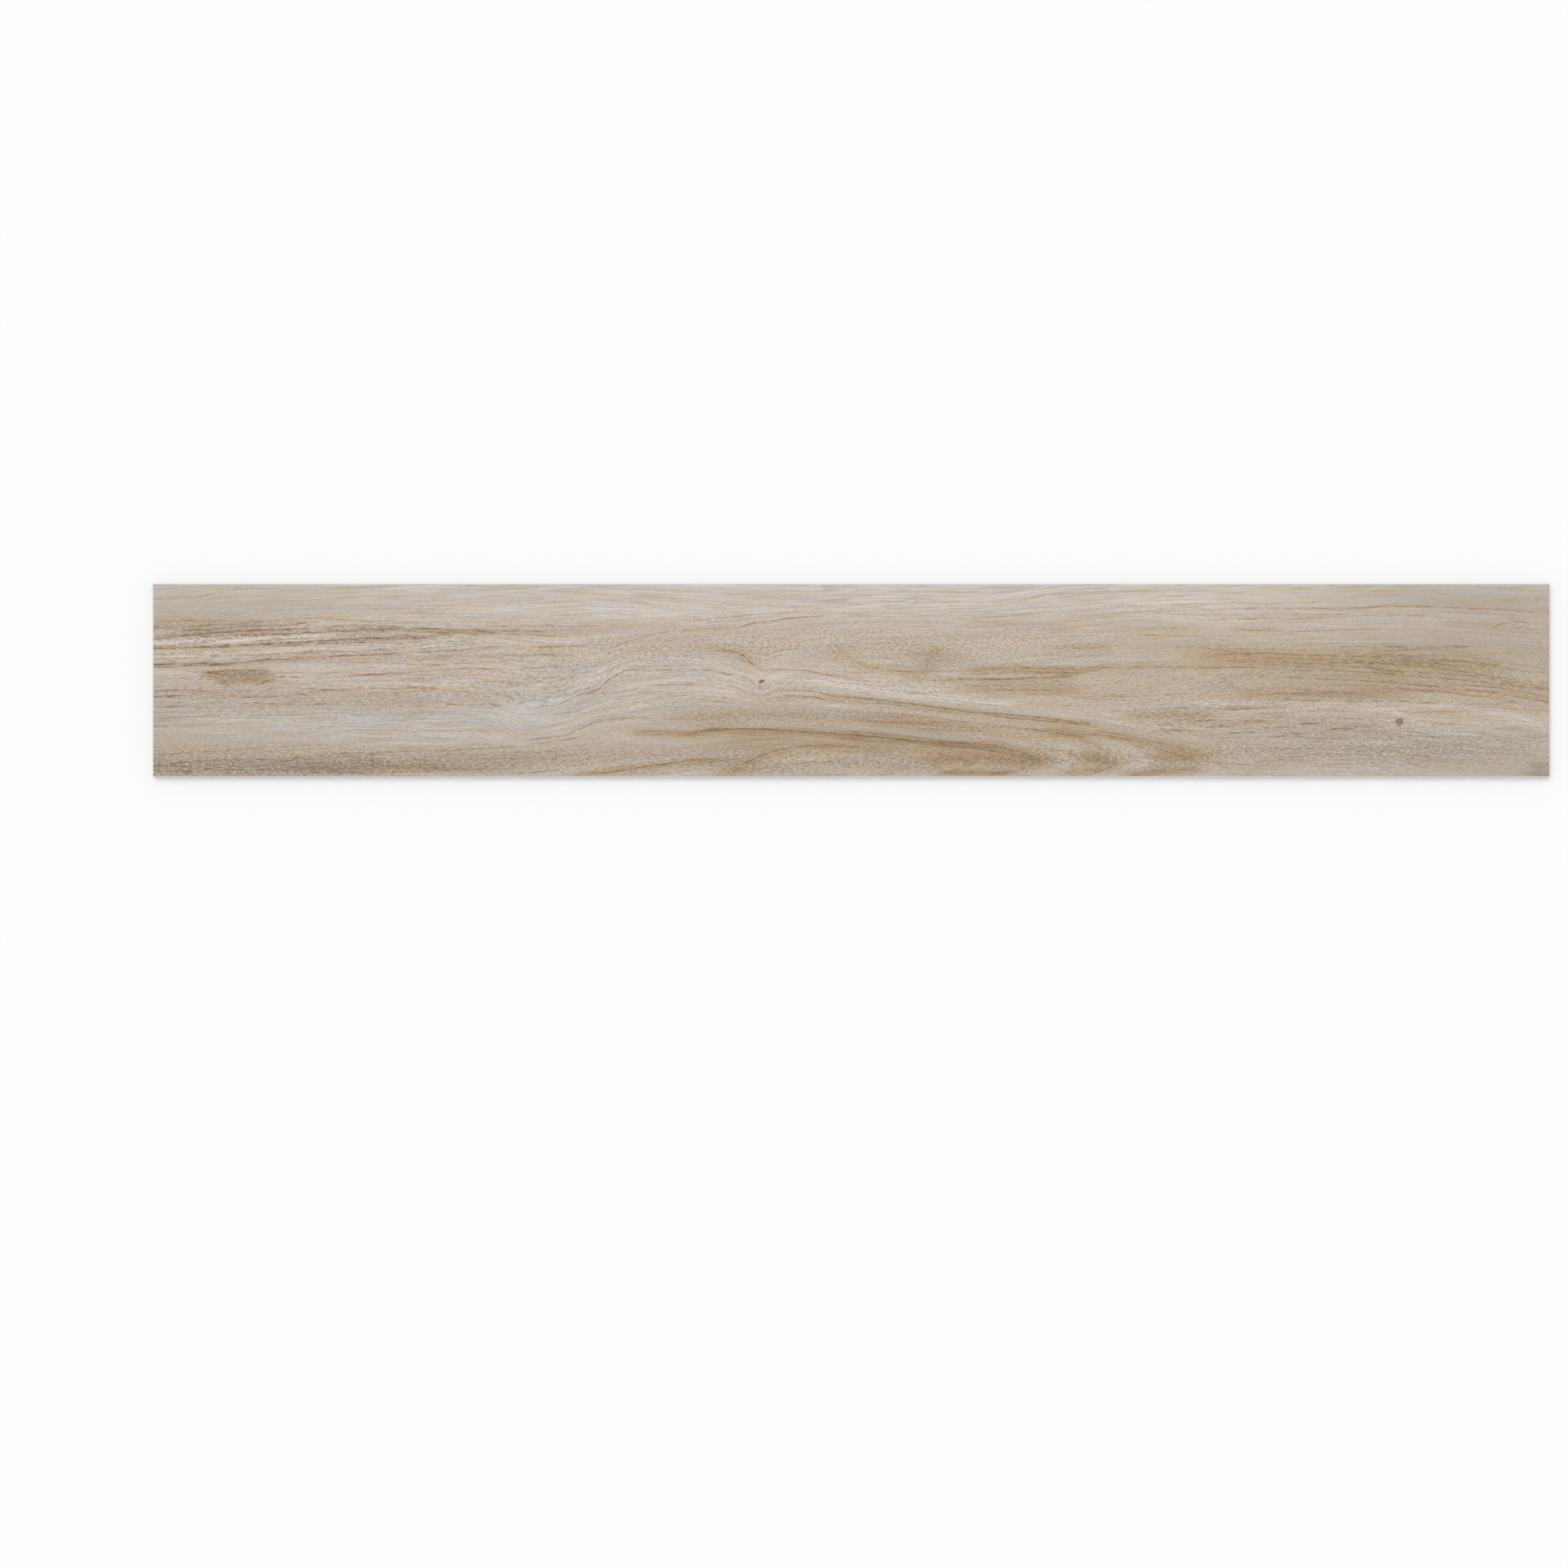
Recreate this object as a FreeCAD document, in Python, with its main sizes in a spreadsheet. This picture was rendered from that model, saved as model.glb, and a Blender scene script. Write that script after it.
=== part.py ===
# A long, narrow porcelain floor tile: one pressed and fired slab, lying face up.
# Its four sides are ground square after firing and its face edges get a fine 45 degree arris.
# The back is a waffle of shallow drafted cells between ribs, which the adhesive keys into.
# Millimetres. Origin at the centre of the back, +X along the plank, +Z out of the glazed face.

import FreeCAD, Part

import os

import Sketcher

# Driving dimensions, one spreadsheet cell each.
DIMENSIONS = {
    "plank_length": 1200.0,
    "plank_width": 166.0,
    "plank_thickness": 10.0,
    "arris": 0.7,
    "back_margin": 8.0,
    "cell_pitch": 30.0,
    "rib_width": 3.0,
    "cell_depth": 0.8,
    "cell_draft": 30.0,
}

SHEET = "dims"
NODE = "porcelain_plank"

# In a sketch's constraints 1 is a line's start and 2 its end. This pair is the sketch's own origin.
ORIGIN = (-1, 1)


def cell_count(side):
    """How many cells fit along one side of the back, as an expression on the sheet."""
    return f"round(({field(side)} + {SHEET}.rib_width) / {SHEET}.cell_pitch)"


def cell_size(side):
    """The mouth of one cell along one side: the field less the ribs in it, shared out evenly."""
    count = cell_count(side)
    return f"({field(side)} - ({count} - 1) * {SHEET}.rib_width) / {count}"


def field(side):
    """The keyed part of the back along one side, inside its plain margin."""
    return f"({SHEET}.{side} - 2 * {SHEET}.back_margin)"


def make_sheet(doc):
    sheet = doc.addObject("Spreadsheet::Sheet", SHEET)
    for row, (name, value) in enumerate(DIMENSIONS.items(), start=1):
        sheet.set(f"A{row}", name)
        sheet.set(f"B{row}", str(value))
        sheet.setAlias(f"B{row}", name)
    doc.recompute()
    return sheet


def origin_feature(body, role):
    """The plane or axis of a body's own origin that has this role."""
    return next(f for f in body.Origin.OriginFeatures if f.Role == role)


def rectangle_sketch(body, name, low, high):
    """A sketch on the body's base plane with one level rectangle between two opposite corners."""
    sketch = body.newObject("Sketcher::SketchObject", name)
    sketch.AttachmentSupport = [(origin_feature(body, "XY_Plane"), "")]
    sketch.MapMode = "FlatFace"
    corners = [low, (high[0], low[1]), high, (low[0], high[1])]
    points = [FreeCAD.Vector(x, y, 0) for x, y in corners]
    for index, point in enumerate(points):
        sketch.addGeometry(Part.LineSegment(point, points[(index + 1) % 4]), False)
    for index in range(4):
        sketch.addConstraint(Sketcher.Constraint("Coincident", index, 2, (index + 1) % 4, 1))
    for index, direction in enumerate(("Horizontal", "Vertical", "Horizontal", "Vertical")):
        sketch.addConstraint(Sketcher.Constraint(direction, index))
    return sketch


def drive(sketch, constraint, expression):
    """Adds a constraint whose value follows an expression on the sheet."""
    index = sketch.addConstraint(constraint)
    sketch.setExpression(f"Constraints[{index}]", expression)


def make_blank(body):
    """The pressed slab, ground to size on all four sides."""
    length = DIMENSIONS["plank_length"]
    width = DIMENSIONS["plank_width"]
    low = (-length / 2, -width / 2)
    high = (length / 2, width / 2)
    outline = rectangle_sketch(body, "plank_outline", low, high)
    outline.addConstraint(Sketcher.Constraint("Symmetric", 0, 1, 2, 1, *ORIGIN))
    along = Sketcher.Constraint("DistanceX", 0, 1, 0, 2, length)
    across = Sketcher.Constraint("DistanceY", 1, 1, 1, 2, width)
    drive(outline, along, f"{SHEET}.plank_length")
    drive(outline, across, f"{SHEET}.plank_width")
    blank = body.newObject("PartDesign::Pad", "blank")
    blank.Profile = outline
    blank.setExpression("Length", f"{SHEET}.plank_thickness")
    body.Document.recompute()
    return blank


def top_face(feature):
    """The name of a feature's highest face."""
    faces = feature.Shape.Faces
    highest = max(range(len(faces)), key=lambda index: faces[index].CenterOfMass.z)
    return f"Face{highest + 1}"


def break_face_edges(body, blank):
    """The fine arris ground round the glazed face."""
    arris = body.newObject("PartDesign::Chamfer", "face_arris")
    arris.Base = (blank, [top_face(blank)])
    arris.setExpression("Size", f"{SHEET}.arris")
    body.Document.recompute()
    return arris


def key_back(body):
    """The grid of shallow cells in the back, drafted so that the slab leaves its die."""
    corner_x = -DIMENSIONS["plank_length"] / 2 + DIMENSIONS["back_margin"]
    corner_y = -DIMENSIONS["plank_width"] / 2 + DIMENSIONS["back_margin"]
    mouth = DIMENSIONS["cell_pitch"] - DIMENSIONS["rib_width"]
    low = (corner_x, corner_y)
    high = (corner_x + mouth, corner_y + mouth)
    outline = rectangle_sketch(body, "cell_outline", low, high)
    to_centre_x = Sketcher.Constraint("DistanceX", 0, 1, *ORIGIN, -corner_x)
    to_centre_y = Sketcher.Constraint("DistanceY", 0, 1, *ORIGIN, -corner_y)
    mouth_x = Sketcher.Constraint("DistanceX", 0, 1, 0, 2, mouth)
    mouth_y = Sketcher.Constraint("DistanceY", 1, 1, 1, 2, mouth)
    drive(outline, to_centre_x, f"{field('plank_length')} / 2")
    drive(outline, to_centre_y, f"{field('plank_width')} / 2")
    drive(outline, mouth_x, cell_size("plank_length"))
    drive(outline, mouth_y, cell_size("plank_width"))
    cell = body.newObject("PartDesign::Pocket", "cell")
    cell.Profile = outline
    cell.Reversed = True
    cell.setExpression("Length", f"{SHEET}.cell_depth")
    cell.setExpression("TaperAngle", f"-{SHEET}.cell_draft")
    body.Document.recompute()

    cells = body.newObject("PartDesign::LinearPattern", "cell_grid")
    cells.Originals = [cell]
    cells.Direction = (origin_feature(body, "X_Axis"), [""])
    cells.setExpression("Length", f"{field('plank_length')} - {cell_size('plank_length')}")
    cells.setExpression("Occurrences", cell_count("plank_length"))
    cells.Direction2 = (origin_feature(body, "Y_Axis"), [""])
    cells.setExpression("Length2", f"{field('plank_width')} - {cell_size('plank_width')}")
    cells.setExpression("Occurrences2", cell_count("plank_width"))
    body.Tip = cells
    body.Document.recompute()
    return cells


def make_plank(doc):
    body = doc.addObject("PartDesign::Body", "plank")
    body.Label = NODE
    blank = make_blank(body)
    arris = break_face_edges(body, blank)
    cells = key_back(body)
    if not cells.Shape.Volume < arris.Shape.Volume:
        raise RuntimeError("the cells cut nothing from the back")
    return body


def check(doc, bodies):
    """Stops before anything is written if a feature failed or a solid is not sound."""
    for feature in doc.Objects:
        if "Invalid" in feature.State or "Error" in feature.State:
            raise RuntimeError(f"{feature.Label} failed to recompute: {feature.State}")
    for body in bodies:
        shape = body.Shape
        if shape.isNull() or not shape.isValid() or len(shape.Solids) != 1:
            raise RuntimeError(f"{body.Label} is not one valid solid")


def main():
    doc = FreeCAD.newDocument("plank_tile")
    make_sheet(doc)
    bodies = [make_plank(doc)]
    doc.recompute()
    check(doc, bodies)
    os.makedirs("parts", exist_ok=True)
    for body in bodies:
        body.Shape.exportStep(os.path.join("parts", f"{body.Label}.step"))
        box = body.Shape.BoundBox
        size = f"{box.XLength:.2f} x {box.YLength:.2f} x {box.ZLength:.2f} mm"
        print(body.Label, size, f"{body.Shape.Volume:.0f} mm3")


main()
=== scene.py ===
import math

import bmesh
import bpy
import numpy as np
from mathutils import Matrix, Vector, noise


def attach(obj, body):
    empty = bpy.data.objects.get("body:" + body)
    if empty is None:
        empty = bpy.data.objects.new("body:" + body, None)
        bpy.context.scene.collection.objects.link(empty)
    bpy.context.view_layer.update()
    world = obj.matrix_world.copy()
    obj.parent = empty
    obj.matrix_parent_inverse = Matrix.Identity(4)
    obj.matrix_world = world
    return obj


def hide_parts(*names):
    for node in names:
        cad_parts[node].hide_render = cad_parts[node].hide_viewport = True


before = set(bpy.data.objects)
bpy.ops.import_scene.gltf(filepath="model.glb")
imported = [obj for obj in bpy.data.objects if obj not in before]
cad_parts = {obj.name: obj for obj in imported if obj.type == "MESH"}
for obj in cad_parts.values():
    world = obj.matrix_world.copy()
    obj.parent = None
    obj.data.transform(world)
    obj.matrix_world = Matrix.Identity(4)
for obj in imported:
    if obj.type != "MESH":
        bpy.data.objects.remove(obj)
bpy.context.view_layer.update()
print("frame loaded")


def linearColour(hexCode):
    values = [int(hexCode[i : i + 2], 16) / 255 for i in (1, 3, 5)]
    return tuple(v / 12.92 if v <= 0.04045 else ((v + 0.055) / 1.055) ** 2.4 for v in values) + (1.0,)


def addNode(tree, kind, settings=None, inputs=None, links=None):
    node = tree.nodes.new(kind)
    for name, value in (settings or {}).items():
        setattr(node, name, value)
    for socket, value in (inputs or {}).items():
        node.inputs[socket].default_value = value
    for socket, source in (links or {}).items():
        if isinstance(source, bpy.types.Node):
            source = source.outputs[0]
        tree.links.new(source, node.inputs[socket])
    return node


def emptyMaterial(name):
    material = bpy.data.materials.new(name)
    material.use_nodes = True
    material.node_tree.nodes.clear()
    return material, material.node_tree


def placeObject(name, data):
    placed = bpy.data.objects.new(name, data)
    bpy.context.scene.collection.objects.link(placed)
    return placed


# Straight down on the glazed face, from far enough up to look flat. The frame is 1346 mm wide,
# and the plank lies above its middle and a little to the right.
cameraSetup = {
    "lensMm": 135.0,
    "sensorMm": 36.0,
    "frameWidth": 1.3465,
    "aim": (-0.0578, -0.0890, 0.010),
    "clipEnd": 50.0,
}

cameraData = bpy.data.cameras.new("overheadCamera")
cameraData.lens = cameraSetup["lensMm"]
cameraData.sensor_width = cameraSetup["sensorMm"]
cameraData.clip_end = cameraSetup["clipEnd"]
cameraRise = cameraSetup["frameWidth"] * cameraSetup["lensMm"] / cameraSetup["sensorMm"]
overheadCamera = placeObject("overheadCamera", cameraData)
overheadCamera.location = Vector(cameraSetup["aim"]) + Vector((0, 0, cameraRise))
bpy.context.scene.camera = overheadCamera
print("camera placed")


# The plank's body: a pressed slab with ground sides, a fine arris and a keyed back. Metres.
plankSizes = {
    "length": 1.200,
    "width": 0.166,
    "thickness": 0.010,
    "arris": 0.0007,
    "arrisSteps": ((0.12, 0.05), (0.80, 0.85), (0.08, 1.10)),  # in shares of it: one step out, and down in all
    "lowerEdge": 0.0003,
    "backMargin": 0.008,
    "cellsAlong": 40,
    "cellsAcross": 5,
    "ribWidth": 0.003,
    "cellDepth": 0.0008,
    "cellDraft": 30.0,
    "ribRound": 0.0003,
    "faceColumns": 430,
    "faceRows": 170,
    "closerAt": (-0.077, 0.471),  # the knots, where the columns of the grid stand closer
    "closerBy": 1.6,
    "closerWithin": 0.022,
    "closerSteps": 2001,
}
samePlace = 1e-6  # metres within which two places count as one


def closeUpColumns(verts, halfLength, sizes):
    # columns are drawn towards the knots, so that these small forms get enough points
    along = np.linspace(-halfLength, halfLength, sizes["closerSteps"])
    spread = sizes["closerWithin"]
    crowd = 1 + sum(sizes["closerBy"] * np.exp(-(((along - place) / spread) ** 2)) for place in sizes["closerAt"])
    share = np.concatenate(([0], np.cumsum((crowd[1:] + crowd[:-1]) / 2)))
    share = share / share[-1] * 2 * halfLength - halfLength
    for vert in verts:
        vert.co.x = float(np.interp(vert.co.x, share, along))


def moveRim(verts, halfLength, halfWidth, out, height):
    for vert in verts:
        for axis, half in ((0, halfLength), (1, halfWidth)):
            if abs(abs(vert.co[axis]) - half) < samePlace:
                vert.co[axis] += math.copysign(1, vert.co[axis]) * out
        vert.co.z = height


def edgesAlong(edges, axis, place):
    return [e for e in edges if all(abs(v.co[axis] - place) < samePlace for v in e.verts)]


def makePlankBody(sizes):
    bm = bmesh.new()
    top, arris, lower = sizes["thickness"], sizes["arris"], sizes["lowerEdge"]
    halfLength = sizes["length"] / 2 - arris
    halfWidth = sizes["width"] / 2 - arris

    # the glazed face is a fine grid, so that its pressed grain is real relief
    place = Matrix.Translation((0, 0, top)) @ Matrix.Diagonal((halfLength, halfWidth, 1, 1))
    bmesh.ops.create_grid(bm, x_segments=sizes["faceColumns"], y_segments=sizes["faceRows"], size=1, matrix=place)
    closeUpColumns(bm.verts, halfLength, sizes)
    printed = set(bm.faces)
    rim = [e for e in bm.edges if e.is_boundary]

    # the rim is extruded into the arris, the ground sides and the lower edge
    steps = [(arris * out, top - arris * down) for out, down in sizes["arrisSteps"]]
    for out, height in (*steps, (0.0, lower), (-lower, 0.0)):
        made = bmesh.ops.extrude_edge_only(bm, edges=rim)["geom"]
        moveRim([g for g in made if isinstance(g, bmesh.types.BMVert)], halfLength, halfWidth, out, height)
        rim = [g for g in made if isinstance(g, bmesh.types.BMEdge) and g.is_boundary]
        halfLength += out
        halfWidth += out

    # the keyed back is a grid whose lines are the sides of the cells
    fieldLength = sizes["length"] / 2 - sizes["backMargin"]
    fieldWidth = sizes["width"] / 2 - sizes["backMargin"]
    counts = (sizes["cellsAlong"], sizes["cellsAcross"])
    segments = [2 * count - 1 for count in counts]
    backVerts = bmesh.ops.create_grid(bm, x_segments=segments[0], y_segments=segments[1], size=1)["verts"]
    for axis, half in ((0, fieldLength), (1, fieldWidth)):
        mouth = (2 * half - (counts[axis] - 1) * sizes["ribWidth"]) / counts[axis]
        for vert in backVerts:
            line = round((vert.co[axis] + 1) / 2 * segments[axis])
            vert.co[axis] = -half + (line // 2) * (mouth + sizes["ribWidth"]) + (line % 2) * mouth
    backFaces = list({f for v in backVerts for f in v.link_faces})
    bmesh.ops.reverse_faces(bm, faces=backFaces)
    backRim = [e for e in {e for f in backFaces for e in f.edges} if e.is_boundary]
    for axis, outer, inner in ((0, halfLength, fieldLength), (1, halfWidth, fieldWidth)):
        for side in (-1, 1):
            chains = edgesAlong(rim, axis, side * outer) + edgesAlong(backRim, axis, side * inner)
            bmesh.ops.bridge_loops(bm, edges=chains)

    # each cell is inset with its draft, and the ribs get the soft edge that pressed powder has
    cells = [f for f in backFaces if min(e.calc_length() for e in f.edges) > 2 * sizes["ribWidth"]]
    draft = sizes["cellDepth"] * math.tan(math.radians(sizes["cellDraft"]))
    mouths = list({e for f in cells for e in f.edges})
    bmesh.ops.inset_individual(bm, faces=cells, thickness=draft, depth=-sizes["cellDepth"])
    ribRound = {"offset": sizes["ribRound"], "segments": 2, "profile": 0.5, "affect": "EDGES", "material": -1}
    bmesh.ops.bevel(bm, geom=mouths, **ribRound)
    bmesh.ops.recalc_face_normals(bm, faces=bm.faces)
    for face in bm.faces:
        face.smooth = face in printed
        face.material_index = 0 if face in printed else 1
    return bm


# The printed figure. Places are in squares of the squared drawing that the figure was set out on:
# 1932 squares wide, one square 0.697 mm, the plank from 188 to 1910 along and from 719 to 957 across.
figureSheet = {
    "squareMm": 1200 / 1722,
    "middle": (1049.0, 838.2),
    "stationsA": (188, 762, 1336, 1910),
    "stationsB": (475, 1049, 1623),
    "stationBlend": 1.4,  # over 0.5, so that near its own stations each fibre pattern stands alone
}

# How the grain runs: each line keeps its level from end to end, and one level is about 1 mm across the grain.
grainLines = {
    82: ((188, 700), (1910, 660)),
    74: ((189, 737), (244, 734), (285, 727), (315, 724), (415, 724), (497, 721), (620, 718), (800, 712),
         (1910, 690)),
    68: ((189, 746), (400, 738), (600, 730), (690, 728), (845, 739), (925, 746), (995, 747), (1087, 742),
         (1217, 742), (1305, 731), (1415, 726), (1465, 722), (1520, 716), (1650, 702), (1910, 698)),
    50: ((189, 766), (300, 765), (500, 767), (620, 768), (730, 766), (817, 768), (855, 762), (930, 757),
         (995, 752), (1145, 752), (1220, 751), (1325, 745), (1400, 741), (1475, 741), (1600, 740), (1712, 737),
         (1775, 738), (1910, 744)),
    43: ((189, 788), (242, 782), (310, 776), (392, 773), (455, 770), (540, 775), (625, 777), (740, 776),
         (817, 777), (905, 773), (930, 768), (967, 762), (995, 760), (1220, 759), (1275, 756), (1325, 752),
         (1400, 748), (1475, 750), (1600, 749), (1712, 747), (1775, 748), (1910, 755)),
    35: ((189, 799), (260, 797), (315, 794), (392, 791), (425, 788), (495, 785), (555, 781), (625, 785),
         (700, 791), (760, 790), (817, 786), (875, 783), (930, 781), (1045, 778), (1220, 775), (1325, 769),
         (1400, 766), (1600, 766), (1712, 768), (1800, 770), (1910, 776)),
    25: ((189, 819), (275, 818), (335, 813), (405, 809), (490, 806), (575, 801), (640, 803), (700, 808),
         (740, 806), (785, 798), (867, 797), (892, 801), (917, 808), (941, 815), (965, 808), (1000, 803),
         (1160, 800), (1220, 796), (1325, 788), (1400, 784), (1475, 781), (1600, 782), (1712, 783), (1800, 786),
         (1910, 796)),
    16: ((189, 832), (347, 834), (480, 830), (530, 826), (585, 823), (640, 831), (690, 832), (735, 825),
         (765, 815), (795, 809), (842, 808), (880, 812), (912, 820), (930, 827), (941, 831), (955, 823),
         (990, 818), (1160, 820), (1220, 812), (1325, 806), (1400, 804), (1475, 800), (1600, 800), (1690, 797),
         (1755, 797), (1815, 799), (1910, 812)),
    12: ((189, 842), (347, 842), (480, 839), (585, 842), (640, 853), (690, 851), (735, 838), (765, 822),
         (785, 817), (842, 817), (875, 818), (892, 822), (912, 828), (930, 835), (941, 837), (955, 828),
         (990, 827), (1015, 831), (1045, 834), (1100, 836), (1230, 837), (1325, 832), (1400, 828), (1475, 821),
         (1535, 822), (1595, 825), (1675, 829), (1725, 834), (1800, 837), (1837, 841), (1910, 848)),
    8: ((189, 852), (347, 852), (480, 850), (600, 862), (650, 873), (697, 864), (710, 857), (735, 850), (746, 842),
        (760, 831), (775, 825), (812, 825), (875, 826), (892, 829), (912, 833), (927, 839), (941, 844), (955, 838),
        (990, 840), (1045, 846), (1087, 851), (1130, 856), (1175, 860), (1237, 865), (1325, 871), (1420, 873),
        (1475, 872), (1575, 870), (1645, 866), (1775, 866), (1837, 864), (1910, 875)),
    0: ((189, 868), (480, 866), (600, 872), (650, 884), (700, 873), (745, 856), (780, 850), (820, 844), (875, 843),
        (900, 846), (920, 853), (941, 858), (960, 851), (995, 851), (1030, 857), (1070, 861), (1150, 871),
        (1200, 877), (1250, 881), (1300, 886), (1350, 892), (1400, 900), (1440, 907), (1500, 908), (1595, 907),
        (1650, 909), (1700, 912), (1750, 915), (1830, 922), (1910, 930)),
}

# Below those the lines bend round to a row of points that lie on one axis near the lower side.
pointedLines = {
    -8: ((189, 886), (480, 884), (600, 888), (650, 896), (700, 886), (745, 874), (785, 865), (822, 860),
         (855, 857), (900, 861), (937, 867), (955, 862), (995, 862), (1030, 865), (1090, 867), (1145, 875),
         (1200, 881), (1250, 887), (1300, 893), (1350, 899), (1398, 909), (1432, 918), (1455, 928), (1478, 937)),
    -16: ((189, 905), (480, 902), (600, 903), (645, 910), (697, 905), (710, 900), (740, 889), (780, 884),
          (850, 877), (900, 876), (1000, 880), (1087, 884), (1150, 888), (1250, 896), (1287, 900), (1320, 906),
          (1345, 915), (1362, 926), (1375, 937)),
    -26: ((189, 925), (480, 920), (640, 922), (700, 917), (750, 909), (795, 902), (845, 905), (880, 899),
          (980, 901), (1045, 905), (1085, 907), (1150, 914), (1212, 917), (1250, 925), (1277, 934), (1284, 938)),
    -44: ((189, 962), (500, 960), (640, 960), (725, 953), (800, 944), (855, 937), (900, 932), (960, 923),
          (995, 919), (1045, 919), (1110, 923), (1160, 928), (1190, 934), (1205, 939)),
}
pointAxis = ((189, 985, -60), (900, 985, -60), (1000, 962, -58), (1100, 947, -52), (1205, 940, -44),
             (1284, 938, -26), (1375, 937, -16), (1478, 937, -8), (1560, 962, -14), (1650, 985, -24),
             (1910, 990, -26))

# The pores and fibres run with the grain but don't turn back at the points.
fibreLines = {
    -9: ((189, 886), (600, 888), (650, 896), (700, 886), (745, 874), (785, 865), (855, 857), (900, 861),
         (955, 862), (1030, 865), (1145, 875), (1250, 888), (1350, 902), (1432, 912), (1500, 916), (1910, 940)),
    -26: ((189, 925), (480, 920), (640, 922), (700, 917), (750, 909), (845, 905), (937, 902), (1045, 908),
          (1150, 917), (1284, 928), (1400, 934), (1500, 937), (1910, 957)),
    -50: ((189, 962), (640, 960), (725, 954), (855, 943), (960, 935), (1045, 934), (1205, 946), (1375, 956),
          (1478, 960), (1910, 985)),
    -72: ((189, 995), (1910, 1015)),
}

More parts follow.
